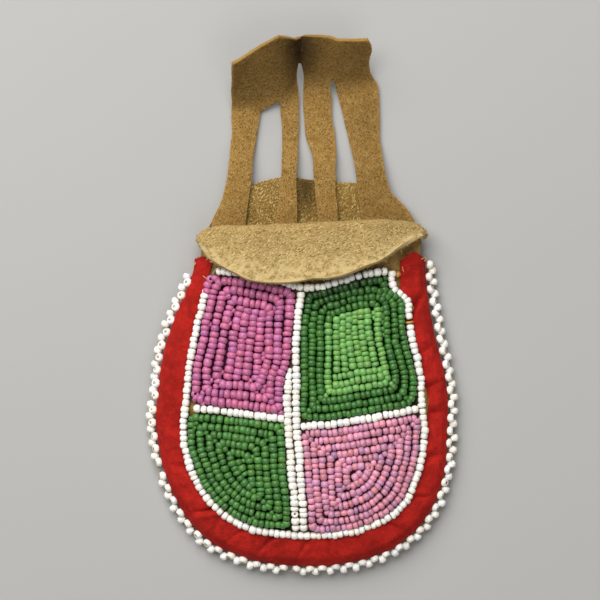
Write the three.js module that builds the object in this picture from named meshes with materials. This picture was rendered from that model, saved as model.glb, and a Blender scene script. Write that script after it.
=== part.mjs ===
// A beaded hide puzzle bag, lying on its back with the beaded face up.
// Millimetres. +X runs across the bag, +Y from its round bottom to its straps, +Z out of the beaded face.
// While it is drawn, y = 0 is the fold of the mouth. At the end the group is moved so that the origin is
// the middle of the bag's box, on the surface that it lies on.
import * as THREE from "three";

// Pouch outline, measured to the outer fold of the red binding
const MOUTH_WIDTH = 59;
const SEAM_TOP_WIDTH = 59.6;
const BODY_WIDTH = 75.5;
const BODY_LENGTH = 88.9;
const SEAM_TOP_DROP = 9.6;
const WIDEST_DROP = 46.8;
const MOUTH_SHIFT = 2.85;
const MOUTH_SHIFT_RUN = 32;
const BOTTOM_SHIFT = 1.4;
const BOTTOM_SHIFT_RUN = 32;
const SIDE_FULLNESS = 0.255;
const BOTTOM_FULLNESS = 0.707;

// Hide, cloth and the room between pieces that lie on each other
const HIDE = 1.1;
const STRAP_HIDE = 1.0;
const CLOTH = 0.6;
const REST_GAP = 0.3;
const EDGE_GAP = 0.5;

// Pocket: the front rises from the seam to a flat crown
const POCKET_RISE = 5;
const RISE_RUN = 16;

// Rounded tongues above the mouth: the back one stands behind the straps, the front one is folded down
const BACK_TONGUE = 11.4;
const BACK_TONGUE_ROUND = 0.98;
const BACK_TONGUE_BEND = 0.75;
const FRONT_TONGUE = 15.8;
const TONGUE_CORNER = 3.4;
const TONGUE_FULLNESS = 2.8;
const TONGUE_DROOP = 2.2;
const TONGUE_DROOP_POWER = 8;
const TONGUE_TILT = 1.2;
const TONGUE_EASE = 0.5;
const FOLD_ROOM = 0.8;

// Red cloth binding that wraps the seam
const BINDING_FACE = 4.9;
const BINDING_FACE_BOTTOM = 7.1;
const BINDING_RIGHT_SPREAD = 1.2;
const BINDING_SPREAD_DROP = 16;
const BINDING_SPREAD_RUN = 6;
const BINDING_LEFT_SWELL = 2;
const BINDING_SWELL_DROP = 44;
const BINDING_SWELL_RUN = 18;
const BINDING_BACK = 2.6;
const BACK_DROP_RUN = 3.4;

// Glass beads
const BEAD_WIDTH = 2.0;
const BEAD_HEIGHT = 2.0;
const BEAD_PITCH = 1.6;
const ROW_PITCH = 2.2;
const BEAD_GAP = 0.3;
const NOTCH_DEPTH = 0.7;
const FURROW_DEPTH = 1.1;
const EDGE_BEAD = 1.9;
const EDGE_BEAD_PITCH = 1.62;
const EDGE_BEAD_STEP = 0.85;

// White bead rows that quarter the face
const TOP_ROW_DROP = 17.3;
const TOP_ROW_SAG = 4.4;
const TOP_ROW_REACH = 22;
const TOP_ROW_BEND = 1.4;
const TOP_ROW_MIDDLE = -1.3;
const OUTLINE_LEFT_DROP = 16;
const OUTLINE_RIGHT_DROP = 12.8;
const CORNER_CUT = 1.1;
const CORNER_CUT_DROP = 16;
const CORNER_CUT_RUN = 4;
const LANE_X = -1.3;
const LANE_DRIFT = 0.8;
const LANE_BEND = 4;
const LANE_SPLIT_DROP = 40;
const LANE_SPLIT_RUN = 9;
const CROSS_LEFT_DROP = 48.4;
const CROSS_LEFT_FALL = 3.8;
const CROSS_RIGHT_DROP = 52.8;
const CROSS_RIGHT_RISE = 5.3;
const CROSS_BEND = 1.55;
const DARK_GREEN_ROUNDS = 3;

// Strap piece: four straps between a base sewn in the mouth and a top band
const STRAP_BASE_DROP = 8;
const STRAP_SLIT_DROP = 4.5;
const STRAP_LEFT_GAP = 3.4;
const STRAP_RIGHT_GAP = 5.4;
const STRAP_BASE_WIDTHS = [8, 5.4, 5.4, 9.6];
const STRAP_EASE = 0.25;
const STRAP_SETTLE_START = 2;
const STRAP_SETTLE_RUN = 9;
const BAND_LIFT = 10;
const BAND_CURL = 1.15;
const BAND_PINCH = 0.4;
const BAND_PINCH_X = -3;
const BAND_PINCH_WIDTH = 3.5;
// Left and right edge of each strap as [x, y], at the mouth, where its flare ends, at its middle, at the end of
// its slits and along the band's top
const STRAP_MOUTH = [[-26.2, 1], [-17.2, 1], [-9.6, 1], [-4, 1], [1.5, 1], [6.7, 1], [12.8, 1], [26.6, 1]];
const STRAP_FLARE = [[-23.4, 7.4], [-16.4, 7.4], [-8.6, 7.4], [-4.1, 7.4],
  [0.9, 7.4], [6.2, 7.4], [12.1, 7.4], [20.9, 7.4]];
const STRAP_MIDDLE = [[-21.9, 15.6], [-15.4, 15.6], [-7.9, 15.6], [-3.9, 15.6],
  [0.2, 15.6], [6.2, 15.6], [11.1, 15.6], [18.7, 15.6]];
const STRAP_SHOULDER = [[-21.2, 30], [-14.1, 29.4], [-8.7, 32.2], [-4, 41],
  [-2.5, 41], [4.7, 36.6], [5.8, 36.6], [17.6, 33.2]];
const BAND_TOP = [[-20.7, 40.8], [-14.6, 44.4], [-8.6, 48.1], [-3.9, 47.8],
  [-2.2, 48.4], [4.4, 47.7], [6.5, 46.9], [14.3, 47.1]];

// How finely the sheets and the rows are drawn
const BODY_ROWS = 13;
const FOLD_ROWS = 4;
const TONGUE_ROWS = 4;
const STRAP_STEPS = 4;
const BINDING_STEPS = 36;
const FIELD_RAYS = 240;
const FIELD_LINE = 5;
const FIELD_FURROW_LINE = 6.5;
const FIELD_SHARED_LINE = 1.3;
const FIELD_BASE_LINE = 6;
const EDGE_POINTS = 64;
const SEAM_POINTS = 400;
const ROW_POINTS = 12;
const OUTLINE_ROW_POINTS = 60;
const ROW_END_STEP = 0.2;
const INSET_ROUNDS = 6;
const EDGE_STRING_SIDES = 4;

const UP = new THREE.Vector3(0, 0, 1);

const finishes = {
  hide: { color: 0xb08c50, roughness: 0.95 },
  strapHide: { color: 0xa68448, roughness: 0.95 },
  redCloth: { color: 0xa3241c, roughness: 0.85 },
  whiteGlass: { color: 0xe4e0d4, roughness: 0.35 },
  magentaGlass: { color: 0xb4588c, roughness: 0.35 },
  pinkGlass: { color: 0xc07e98, roughness: 0.35 },
  darkGreenGlass: { color: 0x2e6a2c, roughness: 0.3 },
  lightGreenGlass: { color: 0x5ca048, roughness: 0.3 },
  greenGlass: { color: 0x3c7a36, roughness: 0.3 },
};

// The hides end this far inside the outer fold of the binding
const EDGE_ROOM = CLOTH + EDGE_GAP;
const FOLD_RADIUS = HIDE / 2 + FOLD_ROOM;

function smooth(t) {
  const s = THREE.MathUtils.clamp(t, 0, 1);
  return s * s * (3 - 2 * s);
}

// Right half of the pouch outline, from the bottom up to the corner of the mouth, drawn in by an inset.
function outlineCurve(inset) {
  const mouth = MOUTH_WIDTH / 2 - inset;
  const seam = SEAM_TOP_WIDTH / 2 - inset;
  const side = BODY_WIDTH / 2 - inset;
  const bottom = -BODY_LENGTH + inset;
  const taper = (WIDEST_DROP - SEAM_TOP_DROP) * SIDE_FULLNESS;
  const round = BODY_LENGTH - inset - WIDEST_DROP;
  const curve = new THREE.CurvePath();
  curve.add(new THREE.CubicBezierCurve(
    new THREE.Vector2(0, bottom),
    new THREE.Vector2(side * BOTTOM_FULLNESS, bottom),
    new THREE.Vector2(side, -WIDEST_DROP - round * BOTTOM_FULLNESS),
    new THREE.Vector2(side, -WIDEST_DROP),
  ));
  curve.add(new THREE.CubicBezierCurve(
    new THREE.Vector2(side, -WIDEST_DROP),
    new THREE.Vector2(side, -WIDEST_DROP + taper),
    new THREE.Vector2(seam + (seam - mouth), -SEAM_TOP_DROP - taper),
    new THREE.Vector2(seam, -SEAM_TOP_DROP),
  ));
  curve.add(new THREE.LineCurve(
    new THREE.Vector2(seam, -SEAM_TOP_DROP),
    new THREE.Vector2(mouth, 0),
  ));
  return curve;
}

const edgeHalf = outlineCurve(0).getSpacedPoints(EDGE_POINTS);
const mirrored = edgeHalf.slice(1).map((p) => new THREE.Vector2(-p.x, p.y));
const edgeLine = [...mirrored.reverse(), ...edgeHalf];
const seamLine = edgeLine.filter((p) => p.y <= -SEAM_TOP_DROP);

function distanceTo(line, x, y) {
  let nearest = Infinity;
  for (let i = 0; i + 1 < line.length; i++) {
    const a = line[i];
    const b = line[i + 1];
    const abx = b.x - a.x;
    const aby = b.y - a.y;
    const t = THREE.MathUtils.clamp(((x - a.x) * abx + (y - a.y) * aby) / (abx * abx + aby * aby), 0, 1);
    nearest = Math.min(nearest, Math.hypot(x - a.x - abx * t, y - a.y - aby * t));
  }
  return nearest;
}

// Heights of the middle of each hide, by the distance in from the bag's edge
const BACK_RIM = CLOTH + REST_GAP;
const FRONT_RIM = BACK_RIM + HIDE + REST_GAP + HIDE / 2;

function backMid(x, y) {
  const past = distanceTo(seamLine, x, y) - BINDING_BACK - REST_GAP;
  return HIDE / 2 + BACK_RIM * (1 - smooth(past / BACK_DROP_RUN));
}

// Height of a sheet that lies a thickness above the middle of the front hide, at an inset from the bag's edge.
function aboveFront(inset, thickness) {
  const left = 1 - THREE.MathUtils.clamp((inset - EDGE_ROOM) / RISE_RUN, 0, 1);
  const slope = (2 * POCKET_RISE * left) / RISE_RUN;
  return FRONT_RIM + POCKET_RISE * (1 - left * left) + thickness * Math.hypot(1, slope);
}

function frontMid(x, y) {
  return aboveFront(distanceTo(edgeLine, x, y), 0);
}

// Height of something sewn on the front hide.
function onFront(x, y, height) {
  return aboveFront(distanceTo(edgeLine, x, y), HIDE / 2 + REST_GAP) + height;
}

// The mouth and all above it stand to the right of the pouch's widest place, and so does its bottom.
function leanAt(y) {
  const above = smooth((y + MOUTH_SHIFT_RUN) / MOUTH_SHIFT_RUN);
  const below = smooth((-y - WIDEST_DROP) / BOTTOM_SHIFT_RUN);
  return MOUTH_SHIFT * above + BOTTOM_SHIFT * below;
}

function geometryOf(points, triangles) {
  for (const point of points) point.x += leanAt(point.y);
  const geometry = new THREE.BufferGeometry().setFromPoints(points);
  geometry.setIndex(triangles);
  geometry.computeVertexNormals();
  return geometry;
}

// A closed sheet of even thickness about a grid of middle points, with cells left out where keep says so.
function sheetGeometry(middle, thickness, keep = () => true) {
  const columns = middle.length;
  const rows = middle[0].length;
  const within = (n, count) => THREE.MathUtils.clamp(n, 0, count - 1);
  const at = (i, j) => middle[within(i, columns)][within(j, rows)];
  const points = [];
  for (let i = 0; i < columns; i++) {
    for (let j = 0; j < rows; j++) {
      const across = at(i + 1, j).clone().sub(at(i - 1, j));
      const along = at(i, j + 1).clone().sub(at(i, j - 1));
      const half = across.cross(along).normalize().multiplyScalar(thickness / 2);
      points.push(middle[i][j].clone().add(half), middle[i][j].clone().sub(half));
    }
  }
  const top = ([i, j]) => 2 * (i * rows + j);
  const inside = (i, j) => i >= 0 && j >= 0 && i < columns - 1 && j < rows - 1 && keep(i, j);
  const triangles = [];
  for (let i = 0; i < columns - 1; i++) {
    for (let j = 0; j < rows - 1; j++) {
      if (!inside(i, j)) continue;
      const corners = [[i, j], [i + 1, j], [i + 1, j + 1], [i, j + 1]].map(top);
      const [a, b, c, d] = corners;
      triangles.push(a, b, c, a, c, d, a + 1, c + 1, b + 1, a + 1, d + 1, c + 1);
      const neighbours = [[i, j - 1], [i + 1, j], [i, j + 1], [i - 1, j]];
      neighbours.forEach(([ni, nj], side) => {
        if (inside(ni, nj)) return;
        const from = corners[side];
        const to = corners[(side + 1) % 4];
        triangles.push(to, from, from + 1, to, from + 1, to + 1);
      });
    }
  }
  return geometryOf(dropUnused(points, triangles), triangles);
}

// Points that no triangle uses are dropped, and the triangles renumbered in place.
function dropUnused(points, triangles) {
  const kept = [];
  const place = new Map();
  triangles.forEach((index, k) => {
    if (!place.has(index)) place.set(index, kept.push(points[index]) - 1);
    triangles[k] = place.get(index);
  });
  return kept;
}

// Places across a panel, from its left edge (-1) to its right edge (1), closer together where it curves.
const ACROSS = [-1, -0.93, -0.82, -0.68, -0.52, -0.26, 0, 0.26, 0.52, 0.68, 0.82, 0.93, 1];
const BACK_ACROSS = [-1, -0.93, -0.8, -0.4, 0, 0.4, 0.8, 0.93, 1];

// How far up the back tongue its rows lie.
const TONGUE_SHARES = [0.3, 0.6, 0.85, 1];

// Rows of the pouch outline from the bottom to the mouth, as [half width, y]. The first is a short flat end.
function bodyRows() {
  const points = outlineCurve(EDGE_ROOM).getSpacedPoints(BODY_ROWS);
  points[0] = outlineCurve(EDGE_ROOM).getPointAt(1 / (3 * BODY_ROWS));
  return points.map((p) => [p.x, p.y]);
}

function backPanel() {
  const rows = bodyRows().map(([half, y]) => (s) => [half * s, y]);
  const half = MOUTH_WIDTH / 2 - EDGE_ROOM;
  for (const share of TONGUE_SHARES) {
    rows.push((s) => [half * s, share * BACK_TONGUE * (1 - BACK_TONGUE_ROUND * s * s) ** BACK_TONGUE_BEND]);
  }
  const middle = BACK_ACROSS.map((s) => rows.map((row) => {
    const [x, y] = row(s);
    return new THREE.Vector3(x, y, backMid(x, y));
  }));
  return sheetGeometry(middle, HIDE);
}

// How far the folded front tongue reaches down, at a place across the mouth.
function tongueReach(s) {
  return TONGUE_CORNER + (FRONT_TONGUE - TONGUE_CORNER) * (1 - Math.abs(s) ** TONGUE_FULLNESS);
}

function frontPanel() {
  const half = MOUTH_WIDTH / 2 - EDGE_ROOM;
  const overBeads = HIDE + 2 * REST_GAP + BEAD_HEIGHT + TONGUE_EASE;
  const middle = ACROSS.map((s) => {
    const x = half * s;
    const fold = TONGUE_TILT * s - TONGUE_DROOP * s ** TONGUE_DROOP_POWER;
    const foot = frontMid(x, fold);
    const column = bodyRows().map(([width, y]) => {
      const low = Math.min(y, fold);
      return new THREE.Vector3(width * s, low, frontMid(width * s, low));
    });
    for (let k = 1; k <= FOLD_ROWS; k++) {
      const turn = (Math.PI * k) / FOLD_ROWS;
      const y = fold + FOLD_RADIUS * Math.sin(turn);
      column.push(new THREE.Vector3(x, y, foot + FOLD_RADIUS * (1 - Math.cos(turn))));
    }
    for (let k = 1; k <= TONGUE_ROWS; k++) {
      const share = k / TONGUE_ROWS;
      const y = fold - share * (tongueReach(s) - TONGUE_TILT * s + fold);
      const clear = THREE.MathUtils.lerp(2 * FOLD_RADIUS, overBeads, smooth(share));
      column.push(new THREE.Vector3(x, y, frontMid(x, y) + clear));
    }
    return column;
  });
  return sheetGeometry(middle, HIDE);
}

// Left and right edges of the straps where they are sewn in the mouth, spread over its width.
function strapBase(y) {
  const left = -MOUTH_WIDTH / 2 + EDGE_ROOM + STRAP_LEFT_GAP;
  const right = MOUTH_WIDTH / 2 - EDGE_ROOM - STRAP_RIGHT_GAP;
  const slit = (right - left - STRAP_BASE_WIDTHS.reduce((sum, width) => sum + width)) / 3;
  let x = left;
  return STRAP_BASE_WIDTHS.flatMap((width) => {
    const edges = [[x, y], [x + width, y]];
    x += width + slit;
    return edges;
  });
}

// Height of the strap piece: on the back panel, down to the surface past its tongue, and up along the band.
function strapMid(x, y, bandShare) {
  const onHide = backMid(x, y) + HIDE / 2 + REST_GAP + STRAP_EASE + STRAP_HIDE / 2;
  const onSurface = STRAP_HIDE / 2;
  const past = smooth((y - BACK_TONGUE - STRAP_SETTLE_START) / STRAP_SETTLE_RUN);
  const pinch = 1 - BAND_PINCH * Math.exp(-(((x - BAND_PINCH_X) / BAND_PINCH_WIDTH) ** 2));
  return onHide + (onSurface - onHide) * past + BAND_LIFT * pinch * bandShare ** BAND_CURL;
}

function strapPiece() {
  const stages = [strapBase(-STRAP_BASE_DROP), strapBase(-STRAP_SLIT_DROP), STRAP_MOUTH, STRAP_FLARE,
    STRAP_MIDDLE, STRAP_SHOULDER, BAND_TOP];
  const rows = STRAP_STEPS * (stages.length - 1);
  const lastSlitRow = rows - STRAP_STEPS;
  const columns = stages[0].map((_, edge) => {
    const curve = new THREE.CatmullRomCurve3(stages.map((row) => new THREE.Vector3(...row[edge], 0)));
    const column = [];
    for (let k = 0; k <= rows; k++) {
      const p = curve.getPoint(k / rows);
      const bandShare = Math.max(0, k - lastSlitRow) / STRAP_STEPS;
      column.push(new THREE.Vector3(p.x, p.y, strapMid(p.x, p.y, bandShare)));
    }
    return column;
  });
  const slitColumn = (i) => i % 2 === 1;
  const inSlit = (i, j) => slitColumn(i) && j >= STRAP_STEPS && j < lastSlitRow;
  return sheetGeometry(columns, STRAP_HIDE, (i, j) => !inSlit(i, j));
}

// Points of the bag's edge from a drop below the mouth on the left round to one on the right, with outward normals.
function seamFrames(count, leftDrop, rightDrop = leftDrop) {
  const half = outlineCurve(0).getSpacedPoints(SEAM_POINTS);
  const left = half.slice(1).filter((p) => p.y <= -leftDrop).map((p) => new THREE.Vector2(-p.x, p.y));
  const whole = [...left.reverse(), ...half.filter((p) => p.y <= -rightDrop)];
  const curve = new THREE.SplineCurve(whole);
  curve.arcLengthDivisions = 4 * SEAM_POINTS;
  return Array.from({ length: count + 1 }, (_, k) => {
    const point = curve.getPointAt(k / count);
    const ahead = curve.getTangentAt(k / count);
    return { point, out: new THREE.Vector2(ahead.y, -ahead.x) };
  });
}

// Width of the binding on the beaded face, which grows towards the bottom, at the left side and at its right end.
function bindingFace(x, y) {
  const down = (-y - WIDEST_DROP) / (BODY_LENGTH - WIDEST_DROP);
  const up = smooth((y + BINDING_SPREAD_DROP + BINDING_SPREAD_RUN) / BINDING_SPREAD_RUN);
  const near = smooth(1 - Math.abs(y + BINDING_SWELL_DROP) / BINDING_SWELL_RUN);
  const spread = x < 0 ? BINDING_LEFT_SWELL * near : BINDING_RIGHT_SPREAD * up;
  return BINDING_FACE + (BINDING_FACE_BOTTOM - BINDING_FACE) * smooth(down) + spread;
}

// How far the outline row leaves the binding towards its right end.
function cornerCut(x, y) {
  return x < 0 ? 0 : CORNER_CUT * smooth((y + CORNER_CUT_DROP + CORNER_CUT_RUN) / CORNER_CUT_RUN);
}

// Inset from the bag's edge to a line that lies further in at some places than at others.
function insetTo(point, out, insetAt) {
  let inset = 0;
  for (let round = 0; round < INSET_ROUNDS; round++) {
    inset = insetAt(point.x - out.x * inset, point.y - out.y * inset);
  }
  return inset;
}

function binding() {
  const wall = CLOTH / 2;
  const faceRoom = HIDE / 2 + REST_GAP + wall;
  const middle = seamFrames(BINDING_STEPS, SEAM_TOP_DROP).map(({ point, out }) => {
    const face = insetTo(point, out, bindingFace);
    const faceInsets = [face, 0.6 * face, 0.3 * face];
    const corner = FRONT_RIM + faceRoom;
    const section = [
      ...faceInsets.map((inset) => [inset, aboveFront(inset, faceRoom)]),
      [wall, corner],
      [wall, 2 * wall],
      [2 * wall, wall],
      [BINDING_BACK, wall],
    ];
    return section.map(([inset, z]) => new THREE.Vector3(point.x - out.x * inset, point.y - out.y * inset, z));
  });
  return sheetGeometry(middle, CLOTH);
}

// A string of beads: a closed tube that swells at each bead and narrows between them.
function beadString(stations, sides) {
  const points = [];
  const triangles = [];
  stations.forEach(({ center, side, half }, k) => {
    for (let n = 0; n < sides; n++) {
      const turn = (2 * Math.PI * (n + 0.5)) / sides;
      const across = side.clone().multiplyScalar(half * Math.cos(turn));
      points.push(center.clone().add(across).addScaledVector(UP, half * Math.sin(turn)));
    }
    if (k === 0) return;
    for (let n = 0; n < sides; n++) {
      const a = (k - 1) * sides + n;
      const b = (k - 1) * sides + ((n + 1) % sides);
      triangles.push(a, a + sides, b + sides, a, b + sides, b);
    }
  });
  const last = points.length - sides;
  for (let n = 1; n + 1 < sides; n++) {
    triangles.push(0, n, n + 1, last, last + n + 1, last + n);
  }
  return geometryOf(points, triangles);
}

// Edge beading: beads along the seam, every other one standing further out.
function edgeBeads() {
  const frames = seamFrames(SEAM_POINTS, SEAM_TOP_DROP);
  const length = frames.slice(1).reduce((sum, f, k) => sum + f.point.distanceTo(frames[k].point), 0);
  const beads = 2 * Math.round(length / EDGE_BEAD_PITCH / 2);
  const height = (FRONT_RIM + HIDE / 2 + REST_GAP + CLOTH) / 2;
  const centers = seamFrames(beads, SEAM_TOP_DROP).map(({ point, out }, k) => {
    const away = EDGE_BEAD / 2 + REST_GAP + (k % 2 ? EDGE_BEAD_STEP : 0);
    return new THREE.Vector3(point.x + out.x * away, point.y + out.y * away, height);
  });
  const stations = [];
  centers.forEach((center, k) => {
    const next = centers[Math.min(k + 1, centers.length - 1)];
    const last = centers[Math.max(k - 1, 0)];
    const side = next.clone().sub(last).cross(UP).normalize();
    stations.push({ center, side, half: EDGE_BEAD / 2 });
    if (next !== center) stations.push({ center: center.clone().lerp(next, 0.5), side, half: EDGE_BEAD / 4 });
  });
  return beadString(stations, EDGE_STRING_SIDES);
}

// A sewn row of beads: a ridge on the front panel that dips between the beads.
function beadRow(path) {
  const curve = new THREE.SplineCurve(path);
  const beads = Math.round(curve.getLength() / BEAD_PITCH);
  const onFace = (x, y, height) => new THREE.Vector3(x, y, onFront(x, y, height));
  const points = [];
  const triangles = [];
  for (let k = 0; k <= beads; k++) {
    const p = curve.getPointAt(k / beads);
    const ahead = curve.getTangentAt(k / beads).multiplyScalar(BEAD_WIDTH / 2);
    points.push(onFace(p.x - ahead.y, p.y + ahead.x, 0));
    points.push(onFace(p.x, p.y, BEAD_HEIGHT - NOTCH_DEPTH));
    points.push(onFace(p.x + ahead.y, p.y - ahead.x, 0));
    if (k === beads) break;
    const crest = curve.getPointAt((k + 0.5) / beads);
    points.push(onFace(crest.x, crest.y, BEAD_HEIGHT));
    const [l, t, r, c, nl, nt, nr] = [0, 1, 2, 3, 4, 5, 6].map((n) => 4 * k + n);
    triangles.push(l, t, c, l, c, nl, nl, c, nt, t, r, c, c, r, nr, c, nr, nt, r, l, nl, r, nl, nr);
  }
  const end = points.length - 3;
  triangles.push(0, 2, 1, end, end + 1, end + 2);
  return geometryOf(points, triangles);
}

const ROW_ROOM = BEAD_WIDTH / 2 + BEAD_GAP;
const OUTLINE_ROW_INSET = BEAD_GAP + BEAD_WIDTH / 2;

function topRowY(x) {
  return -TOP_ROW_DROP + TOP_ROW_SAG * Math.abs((x - TOP_ROW_MIDDLE) / TOP_ROW_REACH) ** TOP_ROW_BEND;
}

function laneX(y) {
  const down = (-y - TOP_ROW_DROP) / (BODY_LENGTH - TOP_ROW_DROP - BINDING_FACE_BOTTOM);
  return LANE_X + LANE_DRIFT * THREE.MathUtils.clamp(down, 0, 1) ** LANE_BEND;
}

// The left lane row runs beside the right one below the split, and the magenta field fills its place above.
function leftLaneX(y) {
  const below = smooth((-y - LANE_SPLIT_DROP + LANE_SPLIT_RUN) / LANE_SPLIT_RUN);
  return laneX(y) - (BEAD_WIDTH + BEAD_GAP) * below;
}

const FACE_HALF = BODY_WIDTH / 2 - BINDING_FACE;

function crossLeftY(x) {
  const along = THREE.MathUtils.clamp((x + FACE_HALF) / FACE_HALF, 0, 1);
  return -CROSS_LEFT_DROP - CROSS_LEFT_FALL * along ** CROSS_BEND;
}

function crossRightY(x) {
  const along = THREE.MathUtils.clamp((x - LANE_X) / (FACE_HALF - LANE_X), 0, 1);
  return -CROSS_RIGHT_DROP + CROSS_RIGHT_RISE * along ** CROSS_BEND;
}

// Room left inside the white outline row, from its inner side.
function insideOutline(x, y) {
  return distanceTo(edgeLine, x, y) - bindingFace(x, y) - cornerCut(x, y) - OUTLINE_ROW_INSET - ROW_ROOM;
}

function outlineRowPath() {
  return seamFrames(OUTLINE_ROW_POINTS, OUTLINE_LEFT_DROP, OUTLINE_RIGHT_DROP).map(({ point, out }) => {
    const inset = insetTo(point, out, (x, y) => bindingFace(x, y) + cornerCut(x, y) + OUTLINE_ROW_INSET);
    return new THREE.Vector2(point.x - out.x * inset, point.y - out.y * inset);
  });
}

// Where a row across the face meets the outline row, going out from a place inside it.
function rowEnd(from, step, yAt) {
  let x = from;
  while (insideOutline(x + step, yAt(x + step)) > 0) x += step;
  return x;
}

// Points of a row from one place to another: the fixed coordinate is worked out by a function of the other.
function rowAlongX(from, to, yAt) {
  return Array.from({ length: ROW_POINTS + 1 }, (_, k) => {
    const x = THREE.MathUtils.lerp(from, to, k / ROW_POINTS);
    return new THREE.Vector2(x, yAt(x));
  });
}

function rowAlongY(from, to, xAt) {
  return Array.from({ length: ROW_POINTS + 1 }, (_, k) => {
    const y = THREE.MathUtils.lerp(from, to, k / ROW_POINTS);
    return new THREE.Vector2(xAt(y), y);
  });
}

// Rooms of the four quarters: how far a point lies inside the rows around it.
const quarters = {
  upperLeft: (x, y) => Math.min(insideOutline(x, y), topRowY(x) - ROW_ROOM - y, leftLaneX(y) - ROW_ROOM - x,
    y - crossLeftY(x) - ROW_ROOM),
  upperRight: (x, y) => Math.min(insideOutline(x, y), topRowY(x) - ROW_ROOM - y, x - laneX(y) - ROW_ROOM,
    y - crossRightY(x) - ROW_ROOM),
  lowerLeft: (x, y) => Math.min(insideOutline(x, y), leftLaneX(y) - ROW_ROOM - x, crossLeftY(x) - ROW_ROOM - y),
  lowerRight: (x, y) => Math.min(insideOutline(x, y), x - laneX(y) - ROW_ROOM, crossRightY(x) - ROW_ROOM - y),
};

// The deepest point of a quarter, found by stepping towards more room.
function deepest(room, x, y) {
  let best = { x, y, room: room(x, y) };
  for (let step = 4; step > 0.05; step /= 1.5) {
    for (let turn = 0; turn < 12; turn++) {
      const tx = best.x + step * Math.cos((turn * Math.PI) / 6);
      const ty = best.y + step * Math.sin((turn * Math.PI) / 6);
      if (room(tx, ty) > best.room) best = { x: tx, y: ty, room: room(tx, ty) };
    }
  }
  return best;
}

// A closed line at one depth inside a quarter, seen from its middle, with the length run at each point.
function lineAtDepth(room, middle, depth) {
  const line = [];
  for (let k = 0; k <= FIELD_RAYS; k++) {
    const turn = (2 * Math.PI * k) / FIELD_RAYS;
    const roomAt = (reach) => room(middle.x + reach * Math.cos(turn), middle.y + reach * Math.sin(turn));
    let far = 0;
    while (roomAt(far) > depth) far += 1;
    let near = Math.max(0, far - 1);
    for (let halving = 0; halving < 12; halving++) {
      const reach = (near + far) / 2;
      if (roomAt(reach) > depth) near = reach;
      else far = reach;
    }
    const point = { turn, x: middle.x + near * Math.cos(turn), y: middle.y + near * Math.sin(turn), run: 0 };
    const last = line[k - 1];
    if (last) point.run = last.run + Math.hypot(point.x - last.x, point.y - last.y);
    line.push(point);
  }
  return line;
}

// Points spread evenly along such a line.
function spread(line, count) {
  const length = line[FIELD_RAYS].run;
  let k = 0;
  return Array.from({ length: count }, (_, n) => {
    const run = (length * n) / count;
    while (line[k + 1].run < run) k += 1;
    const share = (run - line[k].run) / Math.max(line[k + 1].run - line[k].run, 1e-9);
    const mix = (key) => THREE.MathUtils.lerp(line[k][key], line[k + 1][key], share);
    return { turn: mix("turn"), x: mix("x"), y: mix("y") };
  });
}

// Beads sewn in rounds that follow the edge of a quarter inwards, made one mat.
// The mat is closed in the middle, or left open there for another colour's rounds.
function beadField(room, seed, firstRound, lastRound) {
  const middle = deepest(room, ...seed);
  const whole = Math.floor((middle.room + ROW_PITCH / 4) / ROW_PITCH);
  const rounds = Math.min(lastRound, whole);
  const open = lastRound < whole;
  const start = firstRound * ROW_PITCH + (firstRound ? BEAD_GAP : 0);
  const inner = Math.min(rounds * ROW_PITCH, middle.room - ROW_PITCH / 4);
  const valley = BEAD_HEIGHT - FURROW_DEPTH;
  const onFace = ({ turn, x, y }, height) => ({
    turn,
    point: new THREE.Vector3(x, y, onFront(x, y, height)),
  });
  const plainLoop = (depth, height) => {
    const line = lineAtDepth(room, middle, depth);
    const shared = (open && depth === inner) || (firstRound && depth === start);
    const step = height ? FIELD_FURROW_LINE : FIELD_LINE;
    const count = Math.max(6, Math.round(line[FIELD_RAYS].run / (shared ? FIELD_SHARED_LINE : step)));
    return spread(line, count).map((p) => onFace(p, height));
  };
  const beadLoop = (depth) => {
    const line = lineAtDepth(room, middle, depth);
    const beads = Math.max(3, Math.round(line[FIELD_RAYS].run / BEAD_PITCH));
    return spread(line, 2 * beads).map((p, n) => onFace(p, BEAD_HEIGHT - (n % 2 ? NOTCH_DEPTH : 0)));
  };
  const tip = (height) => [onFace({ turn: 0, x: middle.x, y: middle.y }, height)];
  const loops = [plainLoop(start, 0)];
  for (let round = firstRound; round < rounds; round++) {
    const outer = Math.max(start, round * ROW_PITCH);
    loops.push(plainLoop(outer, valley), beadLoop((outer + (round + 1) * ROW_PITCH) / 2));
  }
  loops.push(plainLoop(inner, valley));
  if (open) loops.push(plainLoop(inner, 0));
  else loops.push(tip(valley), tip(0), plainLoop(inner, 0));
  const baseLoops = Math.round((inner - start) / FIELD_BASE_LINE);
  for (let k = 1; k < baseLoops; k++) loops.push(plainLoop(inner + ((start - inner) * k) / baseLoops, 0));
  return loftGeometry(loops);
}

// Closed loops about one middle, joined in turn and the last to the first. A loop of one point is a tip.
function loftGeometry(loops) {
  const points = [];
  const triangles = [];
  const rings = loops.map((loop) => loop.map(({ turn, point }) => ({ turn, index: points.push(point) - 1 })));
  rings.forEach((ring, k) => joinRings(ring, rings[(k + 1) % rings.length], triangles));
  return geometryOf(points, triangles);
}

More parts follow.
